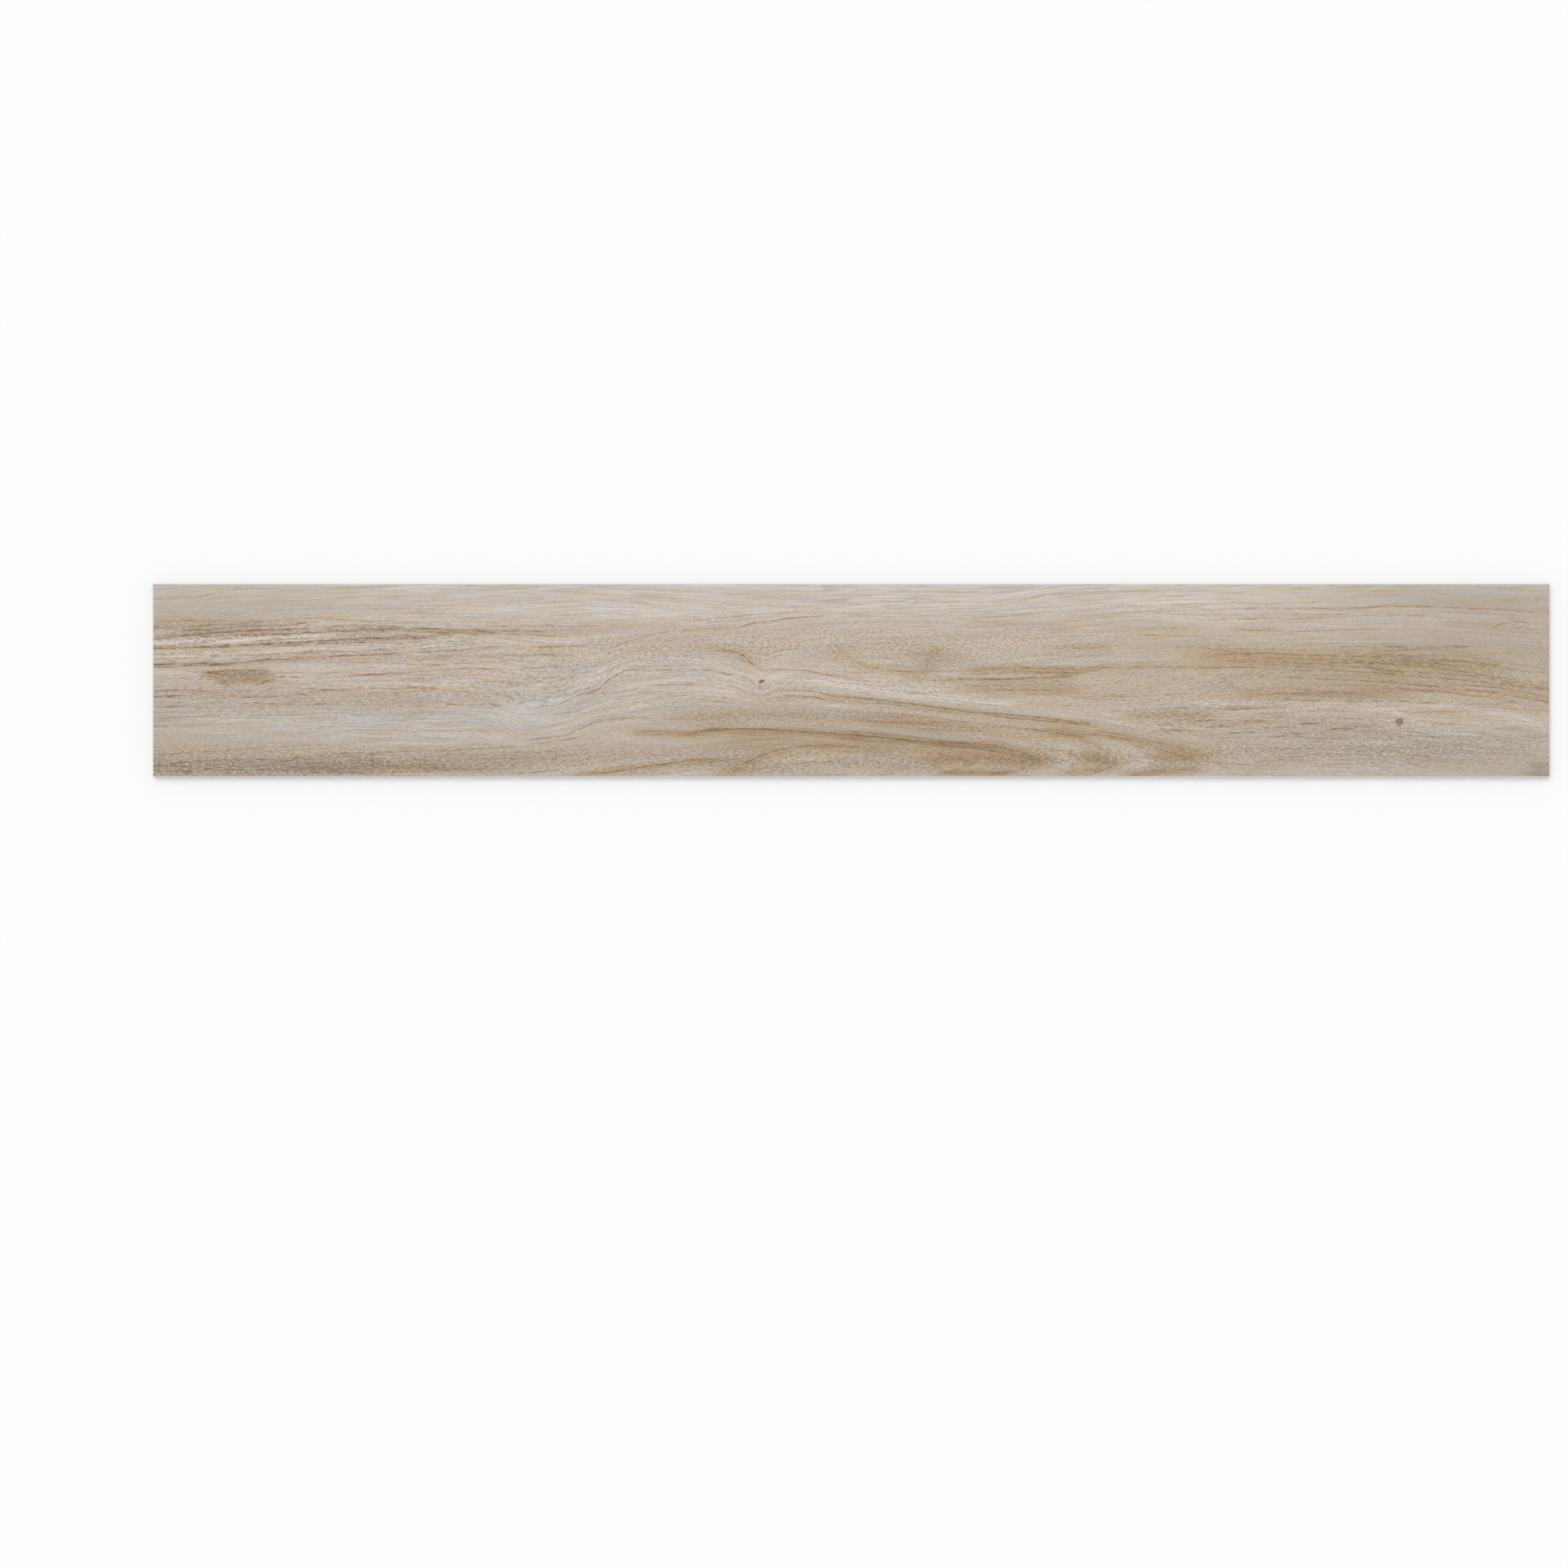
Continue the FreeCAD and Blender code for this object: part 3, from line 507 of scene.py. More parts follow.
# Soft washes under the lines: (kind, half width in mm, strength, course).
# dusk is grey-brown, glow is ochre, pale is whitish, cool is lilac-grey, fleck is short pores, speck is end grain.
# A fleck strength below nothing smooths the grain.
washes = (
    # broad tones: a pale upper strip, a cool left, a warm right
    ("pale", 9, 1.00, ((520, 722), (900, 726), (1300, 725), (1600, 721))),
    ("pale", 7, 0.25, ((189, 730), (500, 727))),
    ("pale", 18, 0.65, ((470, 740), (900, 748), (1450, 742))),
    ("pale", 18, 0.65, ((640, 800), (900, 806), (1250, 806), (1640, 800))),
    ("pale", 8, 0.65, ((680, 744), (1000, 749), (1250, 742), (1420, 735))),
    ("pale", 7, 0.30, ((1400, 742), (1700, 740))),
    ("dusk", 8, 0.22, ((189, 748), (330, 752), (520, 752))),
    ("dusk", 14, 0.24, ((1700, 730), (1830, 745), (1910, 760))),
    ("cool", 12, 0.35, ((189, 740), (500, 735), (1000, 735), (1300, 732))),
    ("cool", 14, 0.50, ((1780, 735), (1910, 735))),
    ("cool", 16, 0.90, ((189, 880), (400, 885), (620, 885), (700, 868))),
    ("glow", 16, 0.26, ((1460, 800), (1750, 800), (1910, 815))),
    ("glow", 12, 0.10, ((960, 795), (1200, 802), (1460, 800))),
    ("glow", 14, 0.30, ((1330, 845), (1600, 845), (1800, 852), (1910, 866))),
    ("fleck", 11, -0.28, ((189, 732), (1000, 728), (1910, 726))),
    ("fleck", 26, 0.35, ((189, 860), (1000, 850), (1910, 860))),
    ("fleck", 12, 0.75, ((189, 940), (900, 938), (1400, 932), (1700, 925))),
    ("fleck", 12, 0.40, ((1700, 925), (1910, 925))),
    ("fleck", 9, 1.50, ((189, 944), (470, 943))),
    # upper right
    ("pale", 0.9, 0.80, ((1630, 741), (1670, 731), (1712, 720))),
    ("dusk", 2.5, 0.40, ((1860, 738), (1890, 738))),
    ("dusk", 3.0, 0.30, ((1790, 770), (1840, 770))),
    ("pale", 3.0, 0.40, ((1760, 760), (1850, 764), (1910, 770))),
    # left end
    ("dusk", 7, 0.62, ((189, 770), (240, 770), (300, 772))),
    ("dusk", 3.0, 0.62, ((189, 784), (330, 779), (480, 777))),
    ("dusk", 3.0, 0.36, ((530, 777.5), (640, 778), (760, 775), (820, 771))),
    ("dusk", 2.0, 0.65, ((189, 799), (300, 796), (420, 789), (520, 786))),
    ("dusk", 3.0, 0.42, ((189, 819), (300, 817), (380, 812))),
    ("dusk", 6.0, 0.22, ((430, 812), (560, 808), (680, 805))),
    ("pale", 1.8, 1.00, ((189, 792), (260, 790), (305, 787), (345, 784), (400, 781))),
    ("pale", 2.4, 0.80, ((189, 808), (250, 806), (330, 802), (450, 797), (520, 794))),
    ("pale", 3.0, 0.55, ((340, 824), (450, 821), (560, 817))),
    ("pale", 1.8, 0.60, ((189, 828), (240, 829))),
    ("dusk", 2.8, 0.85, ((260, 830), (290, 830), (322, 830))),
    ("glow", 2.8, 0.45, ((270, 831), (290, 831), (318, 831))),
    ("dusk", 2.4, 0.95, ((276, 837), (284, 840))),
    ("glow", 2.6, 0.90, ((306, 838), (322, 838))),
    ("dusk", 2.6, 0.25, ((306, 838), (322, 838))),
    ("speck", 5.0, 0.60, ((262, 833), (322, 833))),
    ("fleck", 4.0, 0.80, ((262, 833), (322, 833))),
    ("dusk", 7.0, 0.28, ((189, 852), (300, 856), (450, 860), (600, 857))),
    ("pale", 10, 0.60, ((300, 888), (480, 890), (640, 888))),
    ("pale", 8, 0.30, ((189, 908), (400, 912), (600, 905))),
    ("fleck", 14, 0.85, ((189, 785), (350, 788), (520, 795))),
    ("fleck", 10, 0.30, ((189, 850), (400, 858), (540, 860))),
    # lower left
    ("dusk", 20, 0.50, ((189, 927), (340, 930))),
    ("dusk", 16, 0.14, ((189, 860), (500, 866))),
    ("cool", 7, 0.60, ((189, 945), (420, 945))),
    ("dusk", 6.0, 1.00, ((189, 949), (300, 948), (420, 945))),
    ("dusk", 11, 0.45, ((189, 940), (400, 940), (600, 935))),
    ("dusk", 5.0, 0.65, ((420, 945), (520, 942), (610, 943))),
    ("glow", 3.5, 0.45, ((380, 948), (480, 946), (540, 946))),
    ("dusk", 10, 0.64, ((650, 936), (720, 932), (820, 928), (900, 924))),
    ("fleck", 8, 0.40, ((640, 935), (860, 930))),
    # arc and knots
    ("pale", 4.5, 0.80, ((605, 880), (680, 866), (735, 840), (765, 818), (795, 812), (842, 812), (880, 816),
                         (912, 824), (925, 830))),
    ("pale", 7, 0.30, ((640, 850), (700, 838), (730, 815))),
    ("cool", 9, 0.60, ((640, 860), (720, 835), (780, 815), (860, 815))),
    ("pale", 8, 0.50, ((770, 842), (880, 846))),
    ("pale", 5, 0.50, ((640, 892), (720, 878), (790, 866))),
    ("pale", 2.2, 0.60, ((700, 792), (780, 776), (860, 765), (940, 756))),
    ("pale", 2.4, 0.95, ((946, 834), (975, 835), (1008, 838), (1045, 846))),
    ("dusk", 6, 0.22, ((735, 800), (800, 795), (870, 795), (905, 800))),
    ("glow", 2.0, 0.40, ((890, 801), (907, 804), (920, 813), (930, 820), (941, 827))),
    ("glow", 5.0, 0.22, ((870, 800), (900, 806), (915, 815))),
    ("dusk", 8, 0.40, ((870, 880), (980, 880), (1060, 884), (1150, 898))),
    ("speck", 20, 0.90, ((760, 800), (880, 796), (1000, 795), (1280, 800))),
    ("speck", 11, 0.75, ((880, 885), (1050, 885), (1200, 895), (1300, 912))),
    ("speck", 8, 0.45, ((189, 942), (560, 940))),
    ("speck", 16, 0.28, ((620, 835), (730, 830))),
    ("speck", 13, 0.55, ((1480, 925), (1880, 915))),
    ("speck", 9, 0.70, ((900, 945), (1150, 940), (1470, 938))),
    ("pale", 1.7, 0.85, ((1025, 841), (1087, 850), (1130, 857), (1175, 862), (1237, 867))),
    ("pale", 1.4, 0.85, ((1025, 870), (1100, 876), (1175, 885), (1250, 894), (1287, 896))),
    ("glow", 2.2, 0.55, ((1015, 857), (1045, 860), (1085, 863), (1150, 871), (1250, 882), (1345, 892))),
    ("glow", 8.0, 0.50, ((1100, 884), (1180, 892), (1250, 899), (1310, 904))),
    ("glow", 5.0, 0.40, ((1290, 896), (1360, 902), (1420, 914), (1480, 930))),
    ("cool", 7, 0.60, ((1150, 815), (1190, 815))),
    ("dusk", 6, 0.25, ((1155, 813), (1185, 815))),
    ("glow", 4.0, 0.35, ((1035, 804), (1050, 813), (1075, 822), (1120, 828))),
    ("glow", 4.5, 0.38, ((1152, 800), (1142, 820), (1138, 832))),
    # strong band and points
    ("glow", 3.6, 1.00, ((800, 903), (845, 904), (880, 900), (937, 901), (980, 902), (1045, 906), (1085, 909),
                         (1150, 915), (1212, 918), (1250, 926), (1278, 936))),
    ("dusk", 3.2, 0.12, ((800, 903), (880, 900), (937, 901), (980, 903), (1045, 907))),
    ("dusk", 3.4, 0.55, ((1050, 909), (1085, 911), (1150, 916), (1210, 920))),
    ("glow", 7.0, 0.60, ((930, 912), (1045, 916), (1150, 926), (1240, 934))),
    ("glow", 4.0, 0.55, ((902, 952), (935, 934), (960, 926), (1000, 922), (1085, 924))),
    ("dusk", 9.0, 0.34, ((930, 948), (1050, 942), (1150, 942))),
    ("glow", 3.4, 0.65, ((725, 953), (800, 945), (885, 937))),
    ("glow", 5.5, 0.90, ((1165, 934), (1225, 934), (1258, 937))),
    ("dusk", 4.0, 0.12, ((1170, 933), (1230, 934), (1260, 937))),
    ("glow", 3.0, 0.80, ((1170, 952), (1235, 952))),
    ("dusk", 2.6, 0.35, ((1170, 953), (1235, 952))),
    ("glow", 4.5, 0.90, ((1346, 930), (1358, 935), (1364, 938))),
    ("dusk", 3.2, 0.60, ((1348, 934), (1362, 938))),
    ("glow", 3.2, 0.85, ((1290, 901), (1335, 905))),
    ("dusk", 2.4, 0.25, ((1305, 903), (1335, 906))),
    ("glow", 4.0, 0.40, ((1335, 910), (1358, 924))),
    ("glow", 3.5, 0.60, ((1356, 947), (1325, 954))),
    ("dusk", 3.0, 0.40, ((1356, 947), (1325, 954))),
    ("pale", 4.0, 1.00, ((1386, 934), (1400, 940))),
    ("cool", 6.0, 0.90, ((1382, 936), (1402, 940))),
    ("dusk", 2.6, 0.15, ((1444, 933), (1462, 936))),
    ("glow", 4.5, 0.50, ((1430, 933), (1446, 935), (1458, 936))),
    ("glow", 3.0, 0.60, ((1370, 905), (1400, 913), (1440, 921), (1462, 929))),
    ("dusk", 3.4, 0.40, ((1400, 953), (1462, 949))),
    ("glow", 3.4, 0.60, ((1400, 953), (1462, 949))),
    # golden bundles
    ("glow", 4.2, 0.85, ((1212, 826), (1260, 824), (1306, 827))),
    ("glow", 5.0, 0.58, ((1212, 847), (1260, 848), (1306, 848))),
    ("pale", 0.9, 0.70, ((1200, 833.5), (1290, 832.5))),
    ("glow", 4.5, 0.40, ((1405, 882), (1470, 880))),
    ("dusk", 4.5, 0.25, ((1405, 882), (1470, 880))),
    ("glow", 3.0, 0.40, ((1315, 824), (1400, 822), (1490, 822))),
    ("glow", 2.2, 0.70, ((1165, 837), (1230, 837), (1310, 835))),
    ("glow", 3.0, 0.40, ((1312, 798), (1362, 797))),
    ("glow", 4.0, 0.35, ((1400, 774), (1465, 774))),
    ("pale", 6.0, 0.30, ((1340, 843), (1400, 843), (1500, 842))),
    ("cool", 6.0, 0.45, ((1295, 808), (1390, 808))),
    ("glow", 7.5, 0.92, ((1510, 808), (1600, 811), (1700, 815), (1820, 822))),
    ("glow", 3.0, 0.60, ((1508, 806), (1600, 808), (1720, 812))),
    ("glow", 4.0, 0.35, ((1690, 801), (1800, 799))),
    ("glow", 8.0, 0.36, ((1560, 826), (1700, 832), (1800, 838), (1860, 847), (1910, 856))),
    ("glow", 4.0, 0.45, ((1545, 855), (1600, 854), (1720, 856))),
    ("pale", 2.2, 0.75, ((1480, 867), (1650, 867), (1787, 870), (1837, 876), (1910, 892))),
    ("glow", 2.0, 0.40, ((1515, 873), (1575, 870))),
    ("dusk", 9.0, 0.45, ((1475, 892), (1600, 893), (1680, 894))),
    ("glow", 3.0, 0.45, ((1527, 775), (1568, 776))),
    ("glow", 2.0, 0.40, ((1737, 878), (1790, 878))),
    ("fleck", 12, 0.50, ((1450, 890), (1600, 893), (1700, 896))),
    ("fleck", 10, 0.30, ((1480, 806), (1700, 812), (1850, 830))),
    # right end, its pin knot and lower corner
    ("dusk", 24, 0.12, ((1760, 850), (1910, 850))),
    ("cool", 26, 0.60, ((1750, 800), (1910, 800))),
    ("dusk", 16, 0.26, ((1510, 925), (1650, 925), (1910, 930))),
    ("pale", 4.0, 0.70, ((1690, 877), (1726, 876))),
    ("pale", 5.0, 0.40, ((1730, 898), (1830, 905))),
    ("dusk", 3.0, 0.50, ((1692, 902), (1710, 904))),
    ("cool", 18, 0.95, ((1690, 920), (1910, 915))),
    ("pale", 9, 0.30, ((1750, 890), (1910, 905))),
    ("pale", 12, 0.25, ((1720, 905), (1880, 915))),
    ("dusk", 3.5, 0.35, ((1750, 938), (1810, 936))),
    ("dusk", 5.0, 0.26, ((1800, 948), (1885, 948))),
    ("dusk", 2.8, 0.80, ((1897, 941), (1897, 956))),
    ("cool", 3.2, 0.90, ((1897, 941), (1897, 956))),
)


# How far a course marks the print round it.
courseReach = {
    "step": 5,               # squares between the stations along a course
    "ink": 9.0,              # squares round a line
    "inkApart": 1.2,         # mm within which two lines of one set would disturb each other
    "inkTaper": 14.0,        # squares over which a line fades at its ends
    "inkFade": 1.7,          # mm beside a line at which its mark is gone
    "cutEnds": (195, 1905),  # a line that passes these squares is cut by the plank's end and doesn't fade there
    "wash": 2.2,             # half widths beside a wash
    "washLonger": 5,         # times as far past its ends
    "washEndPull": 0.25,     # because it fades more slowly along the grain
}


def smoothThrough(knots, values, at):
    # a cubic through the points that never swings past them
    knots, values = np.asarray(knots, float), np.asarray(values, float)
    at = np.clip(at, knots[0], knots[-1])
    steps = np.diff(knots)
    slopes = np.diff(values) / steps
    before, after = slopes[:-1], slopes[1:]
    turns = before * after <= 0
    first, second = 2 * steps[1:] + steps[:-1], steps[1:] + 2 * steps[:-1]
    mean = (first + second) / (first / np.where(turns, 1, before) + second / np.where(turns, 1, after))
    tangents = np.concatenate((slopes[:1], np.where(turns, 0, mean), slopes[-1:]))
    i = np.clip(np.searchsorted(knots, at) - 1, 0, len(steps) - 1)
    t = (at - knots[i]) / steps[i]
    bend = (tangents[i] - slopes[i]) * (1 - t) - (tangents[i + 1] - slopes[i]) * t
    return values[i] + (at - knots[i]) * slopes[i] + steps[i] * t * (1 - t) * bend


def lineHeights(line, at):
    places, heights = zip(*line)
    return float(smoothThrough(places, heights, at))


def ringLevels(x, y):
    # levels of the growth rings, which turn back at the points on the axis
    levels = np.empty_like(x)
    axisX, axisY, axisLevel = zip(*pointAxis)
    for column in np.unique(x):
        here = x == column
        stops = [(lineHeights(line, column), level) for level, line in grainLines.items()]
        pointed = [(level, line) for level, line in pointedLines.items() if column < line[-1][0]]
        stops += [(lineHeights(line, column), level) for level, line in pointed]
        axis = float(smoothThrough(axisX, axisY, column))
        stops.append((axis, float(np.interp(column, axisX, axisLevel))))
        heights, values = zip(*sorted(stops))
        rows = np.where(y[here] > axis, 2 * axis - y[here], y[here])
        levels[here] = np.interp(rows, heights, values)
    return levels


def fibreLevels(x, y):
    lines = {**grainLines, **fibreLines}
    levels = np.empty_like(x)
    for column in np.unique(x):
        here = x == column
        stops = sorted((lineHeights(line, column), level) for level, line in lines.items())
        heights, values = zip(*stops)
        levels[here] = np.interp(y[here], heights, values)
    return levels


def fibreHeights(levels, x, stations):
    # the height in mm that each fibre has at the nearest station, so that its width keeps true to size
    lines = {**grainLines, **fibreLines}
    nearest = np.argmin([np.abs(x - station) for station in stations], axis=0)
    heights = np.empty_like(x)
    for index, station in enumerate(stations):
        stops = sorted((level, -lineHeights(line, station)) for level, line in lines.items())
        here = nearest == index
        heights[here] = np.interp(levels[here], *zip(*stops)) * figureSheet["squareMm"]
    return heights, np.min([np.abs(x - station) for station in stations], axis=0)


def alongCourse(points, x, y, endPull=1.0):
    # for each place: distance to the course, signed by its side, and how far along the nearest point is
    points = np.array(points, float)
    chord = np.concatenate(([0], np.cumsum(np.hypot(*np.diff(points, axis=0).T))))
    stations = np.linspace(0, chord[-1], int(chord[-1] / courseReach["step"]) + 2)
    courseX, courseY = (smoothThrough(chord, points[:, i], stations) for i in (0, 1))
    gap, side, along = np.full_like(x, 1e6), np.ones_like(x), np.zeros_like(x)
    for i in range(len(stations) - 1):
        stepX, stepY = courseX[i + 1] - courseX[i], courseY[i + 1] - courseY[i]
        offX, offY = x - courseX[i], y - courseY[i]
        t = np.clip((offX * stepX + offY * stepY) / (stepX**2 + stepY**2), 0, 1)
        here = np.hypot((offX - t * stepX) * endPull, offY - t * stepY)
        nearer = here < gap
        gap = np.where(nearer, here, gap)
        side = np.where(nearer, np.sign(offX * stepY - offY * stepX), side)
        along = np.where(nearer, stations[i] + t * (stations[i + 1] - stations[i]), along)
    return gap * np.where(side < 0, -1, 1), along, chord[-1]


def inkFields(x, y, reach):
    # three sets of lines, so that each line is far from the others of its own set
    unit = figureSheet["squareMm"]
    far = reach["ink"]
    nearest = np.full((3, len(x)), far)
    amount = np.zeros((3, len(x)))
    strokes = tuple((strength, ((x0, y0), (x1, y1))) for strength, x0, y0, x1, y1 in shortStrokes)
    for strength, points in inkLines + strokes:
        xs, ys = zip(*points)
        box = (x > min(xs) - far) & (x < max(xs) + far) & (y > min(ys) - far) & (y < max(ys) + far)
        box = np.flatnonzero(box)
        away, along, length = alongCourse(points, x[box], y[box])
        away *= unit
        on = box[np.abs(away) < reach["inkApart"]]
        chosen = int(np.argmax([np.min(np.abs(nearest[k][on]), initial=far) for k in range(3)]))
        taper = min(reach["inkTaper"], length / 3)
        start = 1.0 if min(xs) < reach["cutEnds"][0] else np.clip(along / taper, 0, 1)
        stop = 1.0 if max(xs) > reach["cutEnds"][1] else np.clip((length - along) / taper, 0, 1)
        mark = strength * np.sqrt(start * stop) * np.exp(-((away / reach["inkFade"]) ** 4))
        better = np.abs(away) < np.abs(nearest[chosen][box])
        nearest[chosen][box[better]] = away[better]
        amount[chosen][box[better]] = mark[better]
    return nearest, amount


def washFields(x, y, reach):
    unit = figureSheet["squareMm"]
    masks = {kind: np.zeros_like(x) for kind in ("dusk", "glow", "pale", "cool", "fleck", "speck")}
    for kind, halfWidth, strength, points in washes:
        xs, ys = zip(*points)
        beside = reach["wash"] * halfWidth / unit
        past = reach["washLonger"] * beside
        box = (x > min(xs) - past) & (x < max(xs) + past) & (y > min(ys) - beside) & (y < max(ys) + beside)
        box = np.flatnonzero(box)
        away = alongCourse(points, x[box], y[box], reach["washEndPull"])[0]
        mask = strength * np.exp(-((away * unit / halfWidth) ** 2))
        masks[kind][box] = 1 - (1 - masks[kind][box]) * (1 - mask)
    return masks


# The face is pressed with shallow grain: valleys under the lines and along the fibres, none at the rim.
pressedGrain = {
    "depth": 0.00014,      # metres
    "rimFade": 0.004,
    "lineHalfMm": 0.8,
    "roll": (0.02, 0.4),   # slow valleys per square along the plank, and per level across the fibres
    "rollSeed": 3.0,
    "rollFractal": (1.0, 2.0, 3),  # how soon its finer parts fade, how much finer each is, how many
    "lines": 0.55,         # shares of the depth
    "rolling": 0.45,
    "dusk": 0.30,
}


def pressRelief(mesh, x, y, flow, ink, masks, sizes, pressed):
    coords = np.empty(len(mesh.vertices) * 3)
    mesh.vertices.foreach_get("co", coords)
    coords = coords.reshape(-1, 3)
    onFace = coords[:, 2] > sizes["thickness"] - samePlace
    fromRim = np.minimum(sizes["length"] / 2 - np.abs(coords[:, 0]), sizes["width"] / 2 - np.abs(coords[:, 1]))
    fade = np.clip((fromRim - sizes["arris"]) / pressed["rimFade"], 0, 1)
    rolling = np.zeros(len(coords))
    for i in np.flatnonzero(onFace):
        place = Vector((x[i] * pressed["roll"][0], flow[i] * pressed["roll"][1], pressed["rollSeed"]))
        rolling[i] = 0.5 + 0.5 * noise.fractal(place, *pressed["rollFractal"])
    valleys = pressed["lines"] * ink + pressed["rolling"] * np.clip(rolling, 0, 1)
    valleys += pressed["dusk"] * masks["dusk"]
    coords[:, 2] -= np.where(onFace, pressed["depth"] * fade * np.clip(valleys, 0, 1), 0)
    mesh.vertices.foreach_set("co", coords.ravel())
    mesh.update()


def makePlank(sizes):
    bm = makePlankBody(sizes)
    mesh = bpy.data.meshes.new("porcelainPlank")
    bm.to_mesh(mesh)
    bm.free()

    # the figure is set out on the mesh as attributes that the print's material reads
    coords = np.empty(len(mesh.vertices) * 3)
    mesh.vertices.foreach_get("co", coords)
    unit = figureSheet["squareMm"] / 1000
    x = figureSheet["middle"][0] + coords[0::3] / unit
    y = figureSheet["middle"][1] - coords[1::3] / unit
    rings, fibres = ringLevels(x, y), fibreLevels(x, y)
    heightsA, awayA = fibreHeights(fibres, x, figureSheet["stationsA"])
    heightsB, awayB = fibreHeights(fibres, x, figureSheet["stationsB"])
    shareA = np.clip(0.5 + (awayB - awayA) / (awayA + awayB) * figureSheet["stationBlend"], 0, 1)
    loss = np.hypot(shareA, 1 - shareA)  # two patterns laid over each other are flatter than one
    shareA, shareB = shareA / loss, (1 - shareA) / loss
    nearest, amount = inkFields(x, y, courseReach)
    masks = washFields(x, y, courseReach)
    fields = {
        "grainFlow": (rings, heightsA, heightsB),
        "fibreShare": (shareA, shareB, (1 - shareA - shareB) / 2),
        "inkNearest": nearest,
        "inkAmount": amount,
        "washTone": (masks["dusk"], masks["glow"], masks["pale"]),
        "washGrain": (masks["cool"], masks["fleck"], masks["speck"]),
    }
    for name, values in fields.items():
        attribute = mesh.attributes.new(name, "FLOAT_VECTOR", "POINT")
        attribute.data.foreach_set("vector", np.stack(values, axis=1).astype(np.float32).ravel())
    ink = np.max(amount * np.exp(-((nearest / pressedGrain["lineHalfMm"]) ** 2)), axis=0)
    pressRelief(mesh, x, y, fibres, ink, masks, sizes, pressedGrain)
    return placeObject("porcelainPlank", mesh)


plank = makePlank(plankSizes)
print("plank body built:", len(plank.data.polygons), "faces")


# Glazed porcelain: pressed, printed with a wood figure under a matt glaze, and fired once. The print is flat
# colour in the glaze, so it shows no depth of its own, and the glaze scatters light softly, without a sharp glint.
# Sizes of patterns are in mm on the plank, along and across its grain. Real pores are finer than the smallest
# of them, which are drawn as coarse as the camera can show.
printSettings = {
    "ground": 0.699,  # level of the print where nothing is drawn, 0 dark and 1 light
    "turn": 0.6,
    "apart": 40.0,  # further shift of the second fibre pattern
    "noise": {"Scale": 1.0, "Roughness": 0.6, "Distortion": 0.25},
    "tone": {"along": 260.0, "across": 15.0, "detail": 1.0, "shift": 0.0, "gain": 0.07},
    "rings": {"along": 120.0, "across": 1.6, "detail": 2.0, "shift": 21.0, "gain": 0.06},
    "ringLines": {"along": 170.0, "across": 2.4, "detail": 2.0, "shift": 77.0, "width": 0.045, "gain": -0.05},
    "streak": {"along": 38.0, "across": 1.2, "detail": 3.0, "shift": 3.1, "gain": 0.17},
    "fibre": {"along": 4.5, "across": 0.6, "detail": 2.0, "shift": 7.7, "gain": 0.20},
    "grit": {"size": 0.9, "turn": 0.65, "gain": 0.22},
    "coarse": {"base": 0.45, "speck": -0.25, "fleck": 1.05},
    "brushing": {"from": 0.34, "to": 0.66, "least": 0.25, "most": 1.7},
    "dashes": {"from": 0.71, "to": 0.65, "gain": -0.10},
    # pale painted highlights beside the pores, standing in for light caught on the pressed relief
    "paintedHighlights": {"from": 0.88, "to": 0.95, "gain": 0.045},
    "streakInDashes": 0.6,
    "stipple": {"along": 3.2, "across": 1.05, "detail": 1.0, "shift": 31.0, "gain": -0.125},
    "stippleRange": {"from": 0.50, "to": 0.62},
    "stippleWarmth": 0.45,
    "ink": {"from": 0.975, "to": 0.1875, "gain": -0.21},  # mm from the line's middle
    "wander": {"along": 9.0, "across": 2.0, "detail": 2.0, "shift": 51.0, "reach": 1.8},
    "wear": {"along": 11.0, "across": 1.6, "detail": 2.0, "shift": 61.0, "apart": 9.0},
    "wearRange": {"from": 0.37, "to": 0.58, "least": 0.22, "most": 1.1},
    "hue": {"along": 70.0, "across": 3.0, "detail": 2.0, "shift": 13.0},
    "dusk": {"gain": -0.12},
    "glow": {"gain": -0.10, "tint": "#fdf1d6", "lean": {"from": 0.48, "to": 0.72, "most": 0.55}},
    "pale": {"gain": 0.06},
    "cool": {"tint": "#f3f8ff", "lean": {"from": 0.48, "to": 0.26, "most": 0.65}},
    "knotWarmth": 2.5,
    "ramp": (
        (0.38, "#77624e"),
        (0.475, "#8e7964"),
        (0.55, "#a08c78"),
        (0.635, "#b2a291"),
        (0.71, "#c1b5a8"),
        (0.785, "#d2c8bf"),
        (0.86, "#ddd5cd"),
    ),
    "bump": {"Strength": 0.35, "Distance": 0.00012},
    "finish": {"Roughness": 0.55, "IOR": 1.5},
}

# Knots printed in the figure: where, half length and half width in squares, turn in degrees, how dark,
# and how much of that is left in the lighter heart.
knotSpots = (
    {"at": (938.4, 839.4), "half": (3.3, 1.6), "turn": 24, "dark": 0.40, "heart": 1.0},
    {"at": (937.0, 847.3), "half": (3.0, 2.6), "turn": 0, "dark": 0.07, "heart": 0.4},
    {"at": (946.0, 847.6), "half": (3.6, 2.0), "turn": 0, "dark": 0.05, "heart": 1.0},
    {"at": (1724.5, 889.3), "half": (4.2, 4.0), "turn": 0, "dark": 0.24, "heart": 0.68},
)
knotEdge = {"From Min": 1.5, "From Max": 0.7}  # in half widths from its middle
knotHeart = {"From Min": 0.1, "From Max": 0.6}

add, multiply, highest, absolute, multiplyAdd = (
    {"operation": name} for name in ("ADD", "MULTIPLY", "MAXIMUM", "ABSOLUTE", "MULTIPLY_ADD")
)


def fromTo(edge):
    # least where it starts, most where it ends
    span = {"From Min": edge["from"], "From Max": edge["to"]}
    return {**span, "To Min": edge.get("least", 0.0), "To Max": edge.get("most", 1.0)}


def readAttribute(tree, name):
    attribute = addNode(tree, "ShaderNodeAttribute", {"attribute_name": name})
    return addNode(tree, "ShaderNodeSeparateXYZ", links={0: attribute.outputs["Vector"]}).outputs


